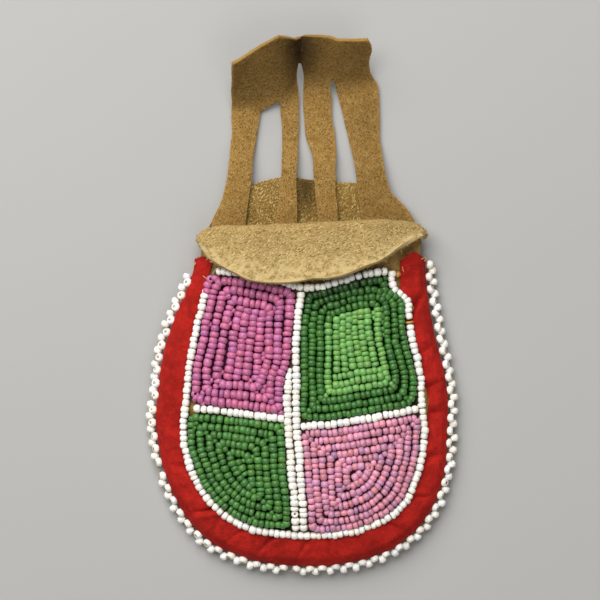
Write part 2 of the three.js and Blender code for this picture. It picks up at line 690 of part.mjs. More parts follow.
function joinRings(outer, inner, triangles) {
  if (outer.length === 1 && inner.length === 1) return;
  const turnAt = (ring, n) => ring[n % ring.length].turn + 2 * Math.PI * Math.floor(n / ring.length);
  let a = 0;
  let b = 0;
  while (a < outer.length || b < inner.length) {
    const outerTurn = turnAt(outer, a) + turnAt(outer, a + 1);
    const innerTurn = turnAt(inner, b) + turnAt(inner, b + 1);
    const outerFirst = b >= inner.length || outerTurn <= innerTurn;
    const stepOuter = inner.length === 1 || (outer.length > 1 && a < outer.length && outerFirst);
    if (inner.length === 1 && a >= outer.length) break;
    if (outer.length === 1 && b >= inner.length) break;
    const from = outer[a % outer.length].index;
    const to = inner[b % inner.length].index;
    if (stepOuter) {
      a += 1;
      triangles.push(from, outer[a % outer.length].index, to);
    } else {
      b += 1;
      triangles.push(from, inner[b % inner.length].index, to);
    }
  }
}

const bag = new THREE.Group();

function add(name, geometry, { color, roughness }) {
  const mesh = new THREE.Mesh(geometry, new THREE.MeshStandardMaterial({ color, roughness, metalness: 0 }));
  mesh.name = name;
  bag.add(mesh);
}

add("back_panel", backPanel(), finishes.hide);
add("front_panel", frontPanel(), finishes.hide);
add("strap_piece", strapPiece(), finishes.strapHide);
add("red_binding", binding(), finishes.redCloth);
add("edge_bead_string", edgeBeads(), finishes.whiteGlass);

const outlinePath = outlineRowPath();
const rowLeft = outlinePath[0].x + ROW_ROOM;
const rowRight = outlinePath[outlinePath.length - 1].x - ROW_ROOM;
const laneHead = topRowY(LANE_X) - ROW_ROOM;
const laneFoot = -BODY_LENGTH + BINDING_FACE_BOTTOM + OUTLINE_ROW_INSET + ROW_ROOM + BEAD_WIDTH / 2;
const leftMiddle = -BODY_WIDTH / 4;
const rightMiddle = BODY_WIDTH / 4;
const crossLeftOuter = rowEnd(leftMiddle, -ROW_END_STEP, crossLeftY);
const crossLeftInner = leftLaneX(crossLeftY(LANE_X)) - ROW_ROOM;
const crossRightInner = laneX(crossRightY(LANE_X)) + ROW_ROOM;
const crossRightOuter = rowEnd(rightMiddle, ROW_END_STEP, crossRightY);
const whiteRows = {
  white_outline_row: outlinePath,
  white_top_row: rowAlongX(rowLeft, rowRight, topRowY),
  white_lane_row_right: rowAlongY(laneHead, laneFoot, laneX),
  white_lane_row_left: rowAlongY(-LANE_SPLIT_DROP, laneFoot, leftLaneX),
  white_cross_row_left: rowAlongX(crossLeftOuter, crossLeftInner, crossLeftY),
  white_cross_row_right: rowAlongX(crossRightInner, crossRightOuter, crossRightY),
};
for (const [name, path] of Object.entries(whiteRows)) add(name, beadRow(path), finishes.whiteGlass);

const upperMiddle = -(TOP_ROW_DROP + CROSS_LEFT_DROP) / 2;
const lowerMiddle = -(CROSS_RIGHT_DROP - laneFoot) / 2;
const { upperLeft, upperRight, lowerLeft, lowerRight } = quarters;
const magenta = beadField(upperLeft, [leftMiddle, upperMiddle], 0, Infinity);
const darkGreen = beadField(upperRight, [rightMiddle, upperMiddle], 0, DARK_GREEN_ROUNDS);
const lightGreen = beadField(upperRight, [rightMiddle, upperMiddle], DARK_GREEN_ROUNDS, Infinity);
const green = beadField(lowerLeft, [leftMiddle, lowerMiddle], 0, Infinity);
const pink = beadField(lowerRight, [rightMiddle, lowerMiddle], 0, Infinity);
add("magenta_bead_field", magenta, finishes.magentaGlass);
add("dark_green_bead_field", darkGreen, finishes.darkGreenGlass);
add("light_green_bead_field", lightGreen, finishes.lightGreenGlass);
add("green_bead_field", green, finishes.greenGlass);
add("pink_bead_field", pink, finishes.pinkGlass);

const box = new THREE.Box3().setFromObject(bag);
const center = box.getCenter(new THREE.Vector3());
bag.children.forEach((mesh) => mesh.position.set(-center.x, -center.y, -box.min.z));

export default bag;
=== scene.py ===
"""A puzzle bag of beaded hide, dressed around its solid parts.

The bag lies on its back. While a piece is worked out, x runs across the bag, y = 0 is the fold of the mouth,
y grows towards the straps and z is the height above the surface that the bag lies on, all in metres.
"""

import math

import bpy
import numpy as np
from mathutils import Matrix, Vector, noise


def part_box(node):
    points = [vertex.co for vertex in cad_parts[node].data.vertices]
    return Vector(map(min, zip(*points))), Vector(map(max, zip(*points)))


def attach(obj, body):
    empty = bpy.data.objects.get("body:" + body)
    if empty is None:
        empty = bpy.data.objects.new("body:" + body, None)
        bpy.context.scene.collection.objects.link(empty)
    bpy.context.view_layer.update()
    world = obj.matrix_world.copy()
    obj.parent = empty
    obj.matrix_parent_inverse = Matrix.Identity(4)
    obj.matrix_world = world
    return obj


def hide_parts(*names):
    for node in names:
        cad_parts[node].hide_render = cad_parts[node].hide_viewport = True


bl_info = {
    "name": "Puzzle Bag",
    "version": (1, 0, 0),
    "blender": (4, 5, 0),
    "location": "View3D > Sidebar > Puzzle Bag",
    "description": "Builds a beaded hide puzzle bag around its solid parts",
    "category": "Object",
}

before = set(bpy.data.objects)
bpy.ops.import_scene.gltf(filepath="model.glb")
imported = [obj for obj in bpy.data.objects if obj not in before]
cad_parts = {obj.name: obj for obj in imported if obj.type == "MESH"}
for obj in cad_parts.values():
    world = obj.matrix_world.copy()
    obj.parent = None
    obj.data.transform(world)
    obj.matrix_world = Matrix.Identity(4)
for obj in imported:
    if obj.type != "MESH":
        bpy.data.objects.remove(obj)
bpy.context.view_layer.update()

MM = 0.001
BODY = "root"

# The pouch's own width and length are read from its solids
BINDING_LOW, BINDING_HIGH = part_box("red_binding")
BACK_LOW, BACK_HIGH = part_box("back_panel")
BACK_TONGUE = 11.4 * MM
MOUTH_Y = BACK_HIGH.y - BACK_TONGUE
MIDDLE_X = (BINDING_LOW.x + BINDING_HIGH.x) / 2

# Fullness of the outline's curves, as shares of the run that they round
SIDE_FULLNESS = 0.255
BOTTOM_FULLNESS = 0.707
# How flat the rim of the front lies, from a dome (0) to an even step (1)
RIM_FLATNESS = 0.75

# Left and right edge of each strap from its sewn end to the slit's end, in mm from the middle of the mouth
STRAP_EDGES = (
    ((-25.4, -8), (-26.2, 0), (-23.9, 5.2), (-22.3, 11.4), (-21.5, 18), (-20.9, 26), (-21.1, 30)),
    ((-17, -8), (-17.4, 0), (-15.9, 11.4), (-15.4, 17.7), (-14.3, 25), (-13.4, 30.1)),
    ((-10.5, -8), (-9.7, 0), (-8.1, 11.4), (-7.8, 17.7), (-7.7, 24), (-8.6, 32.7)),
    ((-5.1, -8), (-4, 0), (-4.2, 11.4), (-3.8, 19), (-3.7, 29), (-3.8, 35), (-4.3, 39.8), (-3.7, 42.4)),
    (
        (1.5, -8), (1.5, 0), (0.5, 11.4), (0.1, 16.8), (-1.6, 23), (-2.2, 28), (-2.3, 34), (-2.1, 39.4),
        (-2.8, 42.4),
    ),
    ((6.9, -8), (6.7, 0), (6, 11.4), (6.2, 19), (5.2, 28), (4.6, 37.8)),
    ((13.4, -8), (12.9, 0), (11.6, 11.4), (10.3, 19), (8.2, 28), (5.7, 37.8)),
    ((25.4, -8), (27, 0), (24, 4.4), (20.8, 8.2), (19.3, 12), (18.2, 18.5), (17.5, 26), (17.6, 32.2)),
)
# Where the straps start to rise towards the band's top edge, and that edge
BAND_FOOT = ((-22, 29.5), (-13, 29), (-7, 29), (-4, 30.5), (0, 30), (4, 29.5), (8, 32.5), (12, 35), (16, 36))
BAND_TOP = (
    (-20.7, 40.8), (-14.6, 44.5), (-8.6, 48.2), (-4.3, 47.6), (-2.1, 48.5), (4.4, 47.7), (6.5, 46.9),
    (14.1, 47.1),
)
# Where the same edges pass on their way up the band to its top
BAND_EDGES = (
    ((-21.1, 35),), ((-14.2, 36.4),), ((-8.6, 40.4),), ((-3.9, 45),), ((-2.5, 45.4),), ((4.5, 42.7),),
    ((6.2, 42.3),), ((16.9, 36.6), (15.2, 39.4), (14.8, 42.8), (15.4, 45.2)),
)
# Top edge of the back tongue, in mm from the middle of the mouth and above its fold
BACK_TONGUE_TOP = (
    (-28.4, -4.5), (-27.6, -2.2), (-26.4, 0.2), (-25, 2.4), (-23, 5), (-20, 7.9), (-15.9, 10),
    (-10.5, 11.7), (-5.8, 12.1), (0.5, 11.4), (5.9, 10.9), (11.6, 10.4), (18, 8.3), (22, 5.2),
    (25, 2.4), (26.6, 0.2), (27.7, -2), (28.4, -4),
)
# Crest of the fold of the front tongue, and how far down the tongue reaches, in the same way
TONGUE_FOLD = (
    (-28.4, -3.4), (-27.4, -2.2), (-25.3, -1.5), (-17.5, -1.3), (-3.2, -0.7), (9.8, 0), (20.2, 0.2),
    (24.6, -0.1), (27.2, -1), (28.4, -2.4),
)
TONGUE_REACH = (
    (-28.4, -5.8), (-25.5, -9.4), (-21.8, -11.8), (-17.4, -13.9), (-11.6, -15.9), (-5.4, -15.6), (0.7, -14.8),
    (5.9, -14.7), (10.4, -13.3), (13.7, -11.8), (17.9, -10), (21.8, -7.4), (25.7, -4.6), (27.4, -3.6),
    (28.4, -3),
)
# Middle line of the white top row
TOP_ROW = (
    (-23.1, -12.8), (-19.3, -12.9), (-14, -13.6), (-9.7, -14.6), (-5, -15.9), (-1, -16.9), (2.1, -16.8),
    (7.2, -15.8), (11.3, -14.3), (14.3, -13.4), (19.4, -12.7), (23, -12.9),
)
# Extra width of the red cloth on the beaded face by how far down the side it lies, both in mm
LEFT_SWELL = (
    (14, -0.8), (18, -0.6), (22, 0), (30, 0.8), (38, 1.6), (43, 2.3), (48, 2.1), (52, 1.3), (57, 0.5),
    (67, 0.3), (74, 1), (88, 1.1),
)
RIGHT_SWELL = (
    (18.2, 0), (20.3, -1), (23, -0.7), (26, -0.4), (31, 0), (60, 0), (72, 0.1), (78, 0.6),
    (81, 1), (88, 1.1),
)
# Puckers in the red cloth: place in mm, depth in mm, width in mm and slant
PUCKERS = (
    ((-25.5, -73.6), 0.9, 0.6, 1), ((-28.4, -76), 0.8, 0.55, 0.8), ((-11, -84), 1, 0.6, 1.1),
    ((-1, -84.6), 0.9, 0.5, 0.9), ((31.3, -20.3), 1.5, 1.2, -0.8), ((-34.6, -42), 0.6, 1.4, 0.7),
    ((34, -61), 1, 1, -0.6), ((34.2, -49.3), 1, 0.9, -0.3), ((34, -42.5), 0.9, 0.9, -0.3),
    ((14, -83), 0.5, 0.9, -0.9), ((29.7, -71), 0.8, 0.6, -0.7), ((-31, -24), 0.5, 1.4, 0.6),
    ((-35.5, -53), 0.6, 1.2, 0.5), ((-33.5, -63.5), 0.7, 1.1, 0.6), ((33, -33), 1, 1.1, -0.5),
    ((22.5, -78), 0.6, 0.6, -0.8), ((-18.5, -81), 0.7, 0.6, 0.9), ((6.5, -84.8), 0.6, 0.5, -0.4),
)
# Places in mm where the edge beading has lost an outer bead
BARE_PLACES = ((-38.8, -64), (-5.6, -90.5))
# Places in mm of beads that differ: turned with the hole up, or of amber glass
TURNED_BEADS = ((-26.8, -43.9), (-3.4, -75.1), (17.7, -63.3), (-24.9, -14.4))
AMBER_BEADS = ((27.8, -26),)
# The amber bead on the outline row's corner: place, way of the hole, length and width, in mm
AMBER_CORNER = ((22.9, -13.5), (0.7, -0.7), 1.4, 1.7)
# Magenta beads that fill the upper left corner, past the end of the white row
CORNER_BEADS = ((-24.7, -14.8), (-25.2, -16.3), (-25.2, -17.9), (-23.4, -14.6))
# Rounds of dark green beads round the light green ones, and a count past the last round of any field
DARK_ROUNDS = 3
ALL_ROUNDS = 99
# The fields of beads: whether upper, whether left, first and last round, and how uneven the tints are
FIELDS = {
    "magenta": (True, True, 0, ALL_ROUNDS, 0.08),
    "dark_green": (True, False, 0, DARK_ROUNDS, 0.12),
    "light_green": (True, False, DARK_ROUNDS, ALL_ROUNDS, 0.08),
    "green": (False, True, 0, ALL_ROUNDS, 0.12),
    "pink": (False, False, 0, ALL_ROUNDS, 0.12),
}
# How dark some fields are next to the tongue, and how far that reaches in mm
SHADOWS = {"magenta": (0.33, 6), "dark_green": (0.78, 12.5), "light_green": (0.6, 12)}
# Fields filled with columns in the middle: rounds outside them and rows across under them
COLUMNS_FROM = {"magenta": (3, 0), "light_green": (4, 2)}
# Bare hide where the white outline row leaves the cloth on the right: width, drop and run along, in mm
BARE_STRIP = (0.95, 46, 4.5)
# Places where the rim of the cloth is drawn in and where the edge beads stand off, and their reach
TUCKS = (((-28.5, -15), (9, 6)), ((-36.5, -44), (9, 5)))
STAND_OFF = ((33, -27), (9, 11))
# Each hide's nap: share of pale fibres, length to width, width in mm, and turns of dark and of pale ones
NAPS = {
    "back_hide": (0.95, 2.2, 0.3, (1.2, 0.9)),
    "front_hide": (1.0, 3.2, 0.26, (0.3, 0.7)),
    "strap_hide": (0.3, 1.4, 0.36, (1.2, -0.8)),
}
# A bare place at the left end of the left cross row, and its reach
BARE_SPOT = ((-27.9, -48.3), (1.2, 1.1))
# Painted shade in the middle of the back tongue, a spot on the band that is partly stain and partly painted
# shadow of the pin, and worn places of the front tongue, with their reach
TONGUE_PAINTED_SHADE = ((-1.4, 9.5), (3.4, 7.5))
BAND_STAIN_AND_SHADOW = ((-3.3, 45), (5.4, 9))
TONGUE_WEAR = ((-0.6, -12.2), (6.5, 2.4))
TONGUE_SCAR = ((-11.6, -12), (1.1, 0.8))
# Loose threads at the ends of the red cloth, as places in mm
LOOSE_THREADS = (
    ((-30.2, -11.4), (-29.6, -10.3)), ((-28.6, -9.9), (-27.8, -8.8)), ((-27.4, -10.3), (-26.5, -8.9)),
    ((-26.1, -10), (-25.2, -10.4)), ((-22.9, -11.6), (-24.1, -12), (-24.8, -13.3)),
    ((-27.3, -13.8), (-25.9, -14.8)),
    ((26.2, -7.6), (27.5, -8.8), (28.9, -9.4), (30.2, -9.1), (29.9, -10)), ((24.2, -11.4), (24.7, -12.7)),
)
# Numbers of points on a short bend, on a line drawn through chosen points and on the seam's finest line
BEND_POINTS = 80
LINE_POINTS = 240
SEAM_POINTS = 1200
# How far the noise of one ripple lies from that of the next
RIPPLE_STEP = Vector((17.3, 5.1, 9.7))
# Least length that anything is divided by
TINY = 1e-9


def to_linear(value):
    """A display value from 0 to 255 as a linear one from 0 to 1."""
    share = value / 255
    if share <= 0.04045:
        return share / 12.92
    return ((share + 0.055) / 1.055) ** 2.4


def number(name, description, default, **kind):
    """A number that a user can change, with its unit or subtype."""
    return bpy.props.FloatProperty(name=name, description=description, default=default, **kind)


def length(name, description, millimetres):
    """A length that a user can change, with its default in millimetres."""
    return number(name, description, millimetres * MM, unit="LENGTH", precision=5)


def colour(name, description, *parts):
    """A colour that a user can change, with its default as display values."""
    default = tuple(to_linear(value) for value in parts)
    return bpy.props.FloatVectorProperty(
        name=name, description=description, default=default, subtype="COLOR", min=0.0, max=1.0
    )


class HideSizes(bpy.types.PropertyGroup):
    """Sizes of the hides and of the red binding."""

    mouth_width: length("Mouth width", "Width of the mouth between its corners", 59)
    seam_top_width: length("Seam top width", "Width where the side seams start", 59.6)
    body_width: length("Body width", "Widest place of the pouch", (BINDING_HIGH.x - BINDING_LOW.x) / MM)
    body_length: length("Body length", "From the mouth to the bottom", (MOUTH_Y - BINDING_LOW.y) / MM)
    seam_top_drop: length("Seam top drop", "From mouth to the start of the seams", 9.6)
    widest_drop: length("Widest drop", "From mouth to the widest place", 46.8)
    mouth_shift: length("Mouth shift", "How far the mouth stands to the right of the pouch", 2.85)
    mouth_shift_run: length("Mouth shift run", "Length over which the mouth moves over", 32)
    bottom_shift: length("Bottom shift", "How far the bottom stands to the right of the pouch", 1.4)
    bottom_shift_run: length("Bottom shift run", "Length over which the bottom moves over", 32)
    hide: length("Hide", "Thickness of the pouch hide", 1.1)
    strap_hide: length("Strap hide", "Thickness of the strap hide", 1.0)
    cloth: length("Cloth", "Thickness of the red cloth", 0.6)
    rest_gap: length("Rest gap", "Room between pieces that lie on each other", 0.3)
    edge_gap: length("Edge gap", "Room between the hides and the fold of the binding", 0.5)
    pocket_rise: length("Pocket rise", "How far the front swells from seam to crown", 5)
    rise_run: length("Rise run", "Width over which the front swells", 16)
    back_tongue: length("Back tongue", "Height of the back tongue above the mouth", BACK_TONGUE / MM)
    tongue_ease: length("Tongue ease", "Room between the folded tongue and the beads", 0.5)
    fold_room: length("Fold room", "Room inside the fold of the tongue", 0.8)
    binding_face: length("Binding face", "Width of the red cloth on the beaded face", 4.9)
    binding_face_bottom: length("Binding face, bottom", "Its width at the bottom of the bag", 6.2)
    binding_right_spread: length("Right spread", "How much wider it is at its right end", 1.2)
    binding_spread_drop: length("Spread drop", "From mouth to where it is that wide", 16)
    binding_spread_run: length("Spread run", "Length over which it widens", 6)
    binding_back: length("Binding back", "Width of the red cloth on the back", 2.6)
    back_drop_run: length("Back drop run", "Width over which the back sinks past the binding", 3.4)
    band_lift: length("Band lift", "How far the top edge of the strap band stands up", 10)


class BeadSizes(bpy.types.PropertyGroup):
    """Sizes of the beads and of the rows that they are sewn in."""

    width: length("Bead width", "Bead across its hole", 2.2)
    run: length("Bead run", "Mean length of a bead along its thread", 1.5)
    row_pitch: length("Row pitch", "Most room from one row of beads to the next", 2.08)
    wide_row_pitch: length("Wide row pitch", "The same in the upper left field", 2.45)
    gap: length("Bead gap", "Room between a row and the rows around it", 0.04)
    lift: length("Bead lift", "Room between a bead and the hide", 0.1)
    edge_stitch: length("Edge stitch", "Length of an edge stitch of two beads", 3.4)
    edge_inner: length("Inner edge bead", "From the cloth to the middle of an inner edge bead", 1.1)
    edge_outer: length("Outer edge bead", "From the cloth to the middle of an outer edge bead", 2.15)
    edge_left_drop: length("Left edge drop", "From mouth to the first edge bead on the left", 12.8)
    edge_right_drop: length("Right edge drop", "From mouth to the last one on the right", 10)
    thread: length("Thread", "Thickness of the sewing thread", 0.24)
    top_row_drop: length("Top row drop", "From mouth to the white top row", 17.3)
    outline_left_drop: length("Outline left drop", "From mouth to the outline row's left end", 16)
    outline_right_drop: length("Outline right drop", "From mouth to its right end", 11.4)
    corner_cut: length("Corner cut", "How far that row leaves the red cloth at its right end", 1.7)
    corner_cut_drop: length("Corner cut drop", "From mouth to where it is that far off", 16)
    corner_cut_run: length("Corner cut run", "Length over which it leaves the cloth", 4)
    lane_x: length("Lane place", "Place across of the white rows down the middle", -1.3)
    lane_drift: length("Lane drift", "How far they lean at the bottom", 0.8)
    lane_split_drop: length("Lane split drop", "From mouth to where the lane becomes two rows", 42)
    lane_split_run: length("Lane split run", "Length over which it does", 8)
    cross_left_drop: length("Left cross drop", "From mouth to the left cross row", 48.0)
    cross_left_fall: length("Left cross fall", "How far that row falls inwards", 3.8)
    cross_right_drop: length("Right cross drop", "From mouth to the right cross row", 52.8)
    cross_right_rise: length("Right cross rise", "How far that row rises outwards", 5.3)


class BagColours(bpy.types.PropertyGroup):
    """Colours of the hides, the cloth, the glass and the stage."""

    strap_hide: colour("Strap hide", "Smoked hide of the straps", 150, 115, 58)
    front_hide: colour("Front hide", "Napped hide of the front and its tongue", 171, 145, 91)
    back_hide: colour("Back hide", "Hide of the back", 141, 111, 51)
    hide_shade: colour("Hide shade", "Dark pores of the hides", 92, 66, 28)
    # Ground laid where the hides are soiled and where painted shade lies
    hide_soil: colour("Hide soil", "Soiled and shaded places of the hides", 41, 27, 8)
    hide_nap: colour("Hide nap", "Pale raised nap of the hides", 200, 176, 124)
    hide_edge: colour("Hide edge", "Freshly cut edge of the hides", 180, 138, 70)
    red_cloth: colour("Red cloth", "Cloth of the binding", 167, 29, 21)
    white_glass: colour("White glass", "White beads", 252, 249, 240)
    magenta_glass: colour("Magenta glass", "Beads of the upper left field", 195, 107, 149)
    dark_green_glass: colour("Dark green glass", "Beads round the upper right field", 65, 117, 48)
    light_green_glass: colour("Light green glass", "Beads inside it", 114, 168, 86)
    green_glass: colour("Green glass", "Beads of the lower left field", 74, 125, 56)
    pink_glass: colour("Pink glass", "Beads of the lower right field", 211, 143, 167)
    amber_glass: colour("Amber glass", "A few odd beads", 190, 138, 70)
    thread: colour("Thread", "Sewing thread", 204, 176, 122)
    floor: colour("Floor", "Pale floor", 172, 171, 168)


class StageSettings(bpy.types.PropertyGroup):
    """Camera and light."""

    camera_height: length("Camera height", "Height of the camera above the floor", 591)
    camera_x: length("Camera place across", "Place of the camera across the bag", -0.32)
    camera_y: length("Camera place along", "Place of the camera along the bag", 1.37)
    lens: number("Lens", "Focal length of the camera in millimetres", 135, subtype="DISTANCE_CAMERA")
    key_power: number("Key light", "Power of the main light", 9, unit="POWER")
    fill_power: number("Fill light", "Power of the light from the foot of the bag", 1.4, unit="POWER")
    sky: number("Sky", "Strength of the pale surroundings", 0.2)


def smooth(share):
    """An even step from 0 to 1."""
    s = np.clip(share, 0, 1)
    return s * s * (3 - 2 * s)


def joined(*axes):
    """Points from their places on each axis."""
    return np.stack(axes, axis=-1)


def bezier(points):
    """Points along a cubic curve with four control points."""
    t = np.linspace(0, 1, BEND_POINTS)[:, None]
    a, b, c, d = (np.array(p, float) for p in points)
    return a * (1 - t) ** 3 + 3 * b * t * (1 - t) ** 2 + 3 * c * t**2 * (1 - t) + d * t**3


def run_along(line):
    """Length run at each point of a line."""
    steps = np.linalg.norm(np.diff(line, axis=0), axis=1)
    return np.concatenate([[0], np.cumsum(steps)])


def along(line, runs):
    """Points of a line at the given runs."""
    length_run = run_along(line)
    return joined(*(np.interp(runs, length_run, axis) for axis in line.T))


def resample(line, count):
    """A line drawn again with evenly spaced points."""
    return along(line, np.linspace(0, run_along(line)[-1], count))


def rounded_line(points, count=BEND_POINTS):
    """A smooth line through a few chosen points."""
    knots = np.array(points, float)
    at = run_along(knots)
    slopes = np.gradient(knots, at, axis=0)
    t = np.linspace(0, at[-1], count)
    k = np.clip(np.searchsorted(at, t, side="right") - 1, 0, len(at) - 2)
    gap = (at[k + 1] - at[k])[:, None]
    s = ((t - at[k])[:, None]) / gap
    start = knots[k] * (1 + 2 * s) * (1 - s) ** 2 + slopes[k] * gap * s * (1 - s) ** 2
    end = knots[k + 1] * s**2 * (3 - 2 * s) + slopes[k + 1] * gap * s**2 * (s - 1)
    return start + end


def distance_to(line, x, y):
    """Distance of each point from a line."""
    start = line[:-1]
    step = np.diff(line, axis=0)
    apart = joined(x, y)[..., None, :] - start
    share = np.clip((apart * step).sum(-1) / (step**2).sum(-1), 0, 1)
    return np.sqrt(((apart - share[..., None] * step) ** 2).sum(-1).min(-1))


def soft_least(*values, blend):
    """The least of several values, with rounded corners where two of them are alike."""
    stacked = np.stack(np.broadcast_arrays(*values))
    least = stacked.min(0)
    return least - blend * np.log(np.exp((least - stacked) / blend).sum(0))


def ripple(points, spread, seed):
    """Smooth noise at each point, from about -1 to 1, with waves about as wide as the spread."""
    offset = RIPPLE_STEP * seed
    return np.array([noise.noise(Vector(p) / spread + offset) for p in points])


def two_ripples(points, spread, seeds):
    """Smooth noise across and along at each point."""
    return joined(*(ripple(points, spread, seed) for seed in seeds))


class Bag:
    """The bag's lines and surfaces."""

    EDGE_POINTS = 110
    INSET_TRIES = 6
    HIDE_FOOT = 0.6 * MM
    CORNER_BLEND = 0.15 * MM
    CROSS_BEND = 1.55

    def __init__(self, scene):
        self.size = scene.bag_sizes
        self.bead = scene.bag_beads
        size = self.size
        self.edge_room = size.cloth + size.edge_gap
        self.fold_radius = size.hide / 2 + size.fold_room
        self.back_rim = size.cloth + size.rest_gap
        self.front_rim = self.back_rim + size.hide + size.rest_gap + size.hide / 2
        self.row_room = self.bead.width / 2 + self.bead.gap
        self.mouth_half = size.mouth_width / 2 - self.edge_room
        self.face_half = size.body_width / 2 - size.binding_face
        half = self.half_outline(0)
        self.half_line = half
        self.top_row = rounded_line(TOP_ROW, LINE_POINTS) * MM
        self.edge_line = self.both_sides(half)
        self.seam_line = self.both_sides(half[half[:, 1] <= -size.seam_top_drop])

    def half_outline(self, inset):
        """Right half of the outline from the bottom up to the corner of the mouth, drawn in by an inset."""
        size = self.size
        mouth = size.mouth_width / 2 - inset
        seam = size.seam_top_width / 2 - inset
        side = size.body_width / 2 - inset
        bottom = -size.body_length + inset
        widest = -size.widest_drop
        seam_top = -size.seam_top_drop
        taper = (seam_top - widest) * SIDE_FULLNESS
        low = widest + (bottom - widest) * BOTTOM_FULLNESS
        rounded = bezier([(0, bottom), (side * BOTTOM_FULLNESS, bottom), (side, low), (side, widest)])
        flank = bezier(
            [(side, widest), (side, widest + taper), (2 * seam - mouth, seam_top - taper), (seam, seam_top)]
        )
        line = np.concatenate([rounded, flank[1:], [[mouth, 0]]])
        return resample(line, self.EDGE_POINTS)

    def hide_rows(self, row, count, top):
        """Half width and height of each row of a hide, from its foot up to the given tops of its columns."""
        outline = self.half_outline(self.edge_room)
        bottom = outline[0, 1]
        outline = along(outline, np.linspace(self.HIDE_FOOT, run_along(outline)[-1], count + 1))
        half, y = (np.interp(row, np.arange(len(outline)), axis) for axis in outline.T)
        return half, bottom + (y - bottom) * (top - bottom) / -bottom

    def both_sides(self, half):
        """A line from the left side round to the right, from its right half."""
        return np.concatenate([half[:0:-1] * (-1, 1), half])

    def lean(self, y):
        """How far the mouth, all above it and the bottom stand to the right of the pouch's widest place."""
        size = self.size
        above = smooth((y + size.mouth_shift_run) / size.mouth_shift_run)
        below = smooth((-y - size.widest_drop) / size.bottom_shift_run)
        return size.mouth_shift * above + size.bottom_shift * below

    def in_frame(self, points):
        """Points moved from the bag's drawing into the frame of its solids."""
        placed = np.array(points, float)
        placed[:, 0] += self.lean(placed[:, 1]) + MIDDLE_X
        placed[:, 1] += MOUTH_Y
        return placed

    def back_middle(self, x, y):
        """Height of the middle of the back hide."""
        size = self.size
        past = distance_to(self.seam_line, x, y) - size.binding_back - size.rest_gap
        return size.hide / 2 + self.back_rim * (1 - smooth(past / size.back_drop_run))

    def above_front(self, inset, thickness):
        """Height of what lies a thickness above the middle of the front hide, at an inset from the edge."""
        size = self.size
        share = np.clip((inset - self.edge_room) / size.rise_run, 0, 1)
        dome = 1 - (1 - share) ** 2
        swell = dome + (smooth(share) - dome) * RIM_FLATNESS
        steep = 2 * (1 - share) + (6 * share * (1 - share) - 2 * (1 - share)) * RIM_FLATNESS
        slope = size.pocket_rise * steep / size.rise_run
        return self.front_rim + size.pocket_rise * swell + thickness * np.hypot(1, slope)

    def front(self, x, y, thickness=0):
        """Height of what lies a thickness above the middle of the front hide."""
        return self.above_front(distance_to(self.edge_line, x, y), thickness)

    def binding_face(self, x, y):
        """Width of the red cloth on the beaded face, which swells at places along the seam."""
        size = self.size
        down = (-y - size.widest_drop) / (size.body_length - size.widest_drop)
        up = smooth((y + size.binding_spread_drop + size.binding_spread_run) / size.binding_spread_run)
        spread = np.where(x < 0, 0, size.binding_right_spread * up)
        swells = [np.interp(-y / MM, *zip(*swell)) * MM for swell in (LEFT_SWELL, RIGHT_SWELL)]
        face = size.binding_face + (size.binding_face_bottom - size.binding_face) * smooth(down)
        return face + spread + np.where(x < 0, *swells)

    def row_inset(self, x, y):
        """Inset of the white outline row, which leaves the red cloth at places on the right."""
        bead = self.bead
        cut = bead.corner_cut * smooth((y + bead.corner_cut_drop + bead.corner_cut_run) / bead.corner_cut_run)
        return self.binding_face(x, y) + np.where(x < 0, 0, cut) + self.bare_strip(x, y) + self.row_room

    def bare_strip(self, x, y):
        """Width of the bare hide that the white outline row leaves beside the cloth."""
        off, drop, run = (value * MM for value in BARE_STRIP)
        return np.where(x < 0, 0, off * np.exp(-(((y + drop) / run) ** 2)))

    def tuck(self, x, y):
        """How far the rim of the cloth is drawn in, from 0 to 1."""
        return np.minimum(1, sum(spot(x, y, *place) for place in TUCKS))

    def inset_to(self, line, out, inset_at):
        """Inset from the bag's edge to a line that lies further in at some places than at others."""
        inset = np.zeros(len(line))
        for _ in range(self.INSET_TRIES):
            place = line - out * inset[:, None]
            inset = inset_at(*place.T)
        return inset

    def seam(self, count, left_drop, right_drop):
        """Points of the bag's edge from a drop on the left to one on the right, with the ways outward."""
        half = resample(self.half_line, SEAM_POINTS)
        left = half[half[:, 1] <= -left_drop] * (-1, 1)
        line = resample(np.concatenate([left[:0:-1], half[half[:, 1] <= -right_drop]]), count)
        ahead = np.gradient(line, axis=0)
        ahead /= np.linalg.norm(ahead, axis=1)[:, None]
        return line, joined(ahead[:, 1], -ahead[:, 0])

    def top_row_y(self, x):
        """Place along of the white top row."""
        return np.interp(x, *self.top_row.T)

    def lane_x(self, y):
        """Place across of the right white row down the middle."""
        bead = self.bead
        size = self.size
        run = size.body_length - bead.top_row_drop - size.binding_face_bottom
        return bead.lane_x + bead.lane_drift * np.clip((-y - bead.top_row_drop) / run, 0, 1) ** 4

    def left_lane_x(self, y):
        """Place across of the left one, which closes in on the right one above the split."""
        return self.lane_x(y) - self.lane_room(y) - self.bead.gap

    def lane_room(self, y):
        """Room for the left row beside the right one."""
        bead = self.bead
        below = smooth((-y - bead.lane_split_drop + bead.lane_split_run) / bead.lane_split_run)
        return bead.width * below

    def left_row_x(self, y):
        """Place across of the left row's beads, which start small."""
        return self.lane_x(y) - (self.bead.width + self.lane_room(y)) / 2 - self.bead.gap

    def cross_left_y(self, x):
        """Place along of the left white row across the face."""
        inward = np.clip((x + self.face_half) / self.face_half, 0, 1)
        return -self.bead.cross_left_drop - self.bead.cross_left_fall * inward**self.CROSS_BEND

    def cross_right_y(self, x):
        """Place along of the right one."""
        outward = np.clip((x - self.bead.lane_x) / (self.face_half - self.bead.lane_x), 0, 1)
        return -self.bead.cross_right_drop + self.bead.cross_right_rise * outward**self.CROSS_BEND

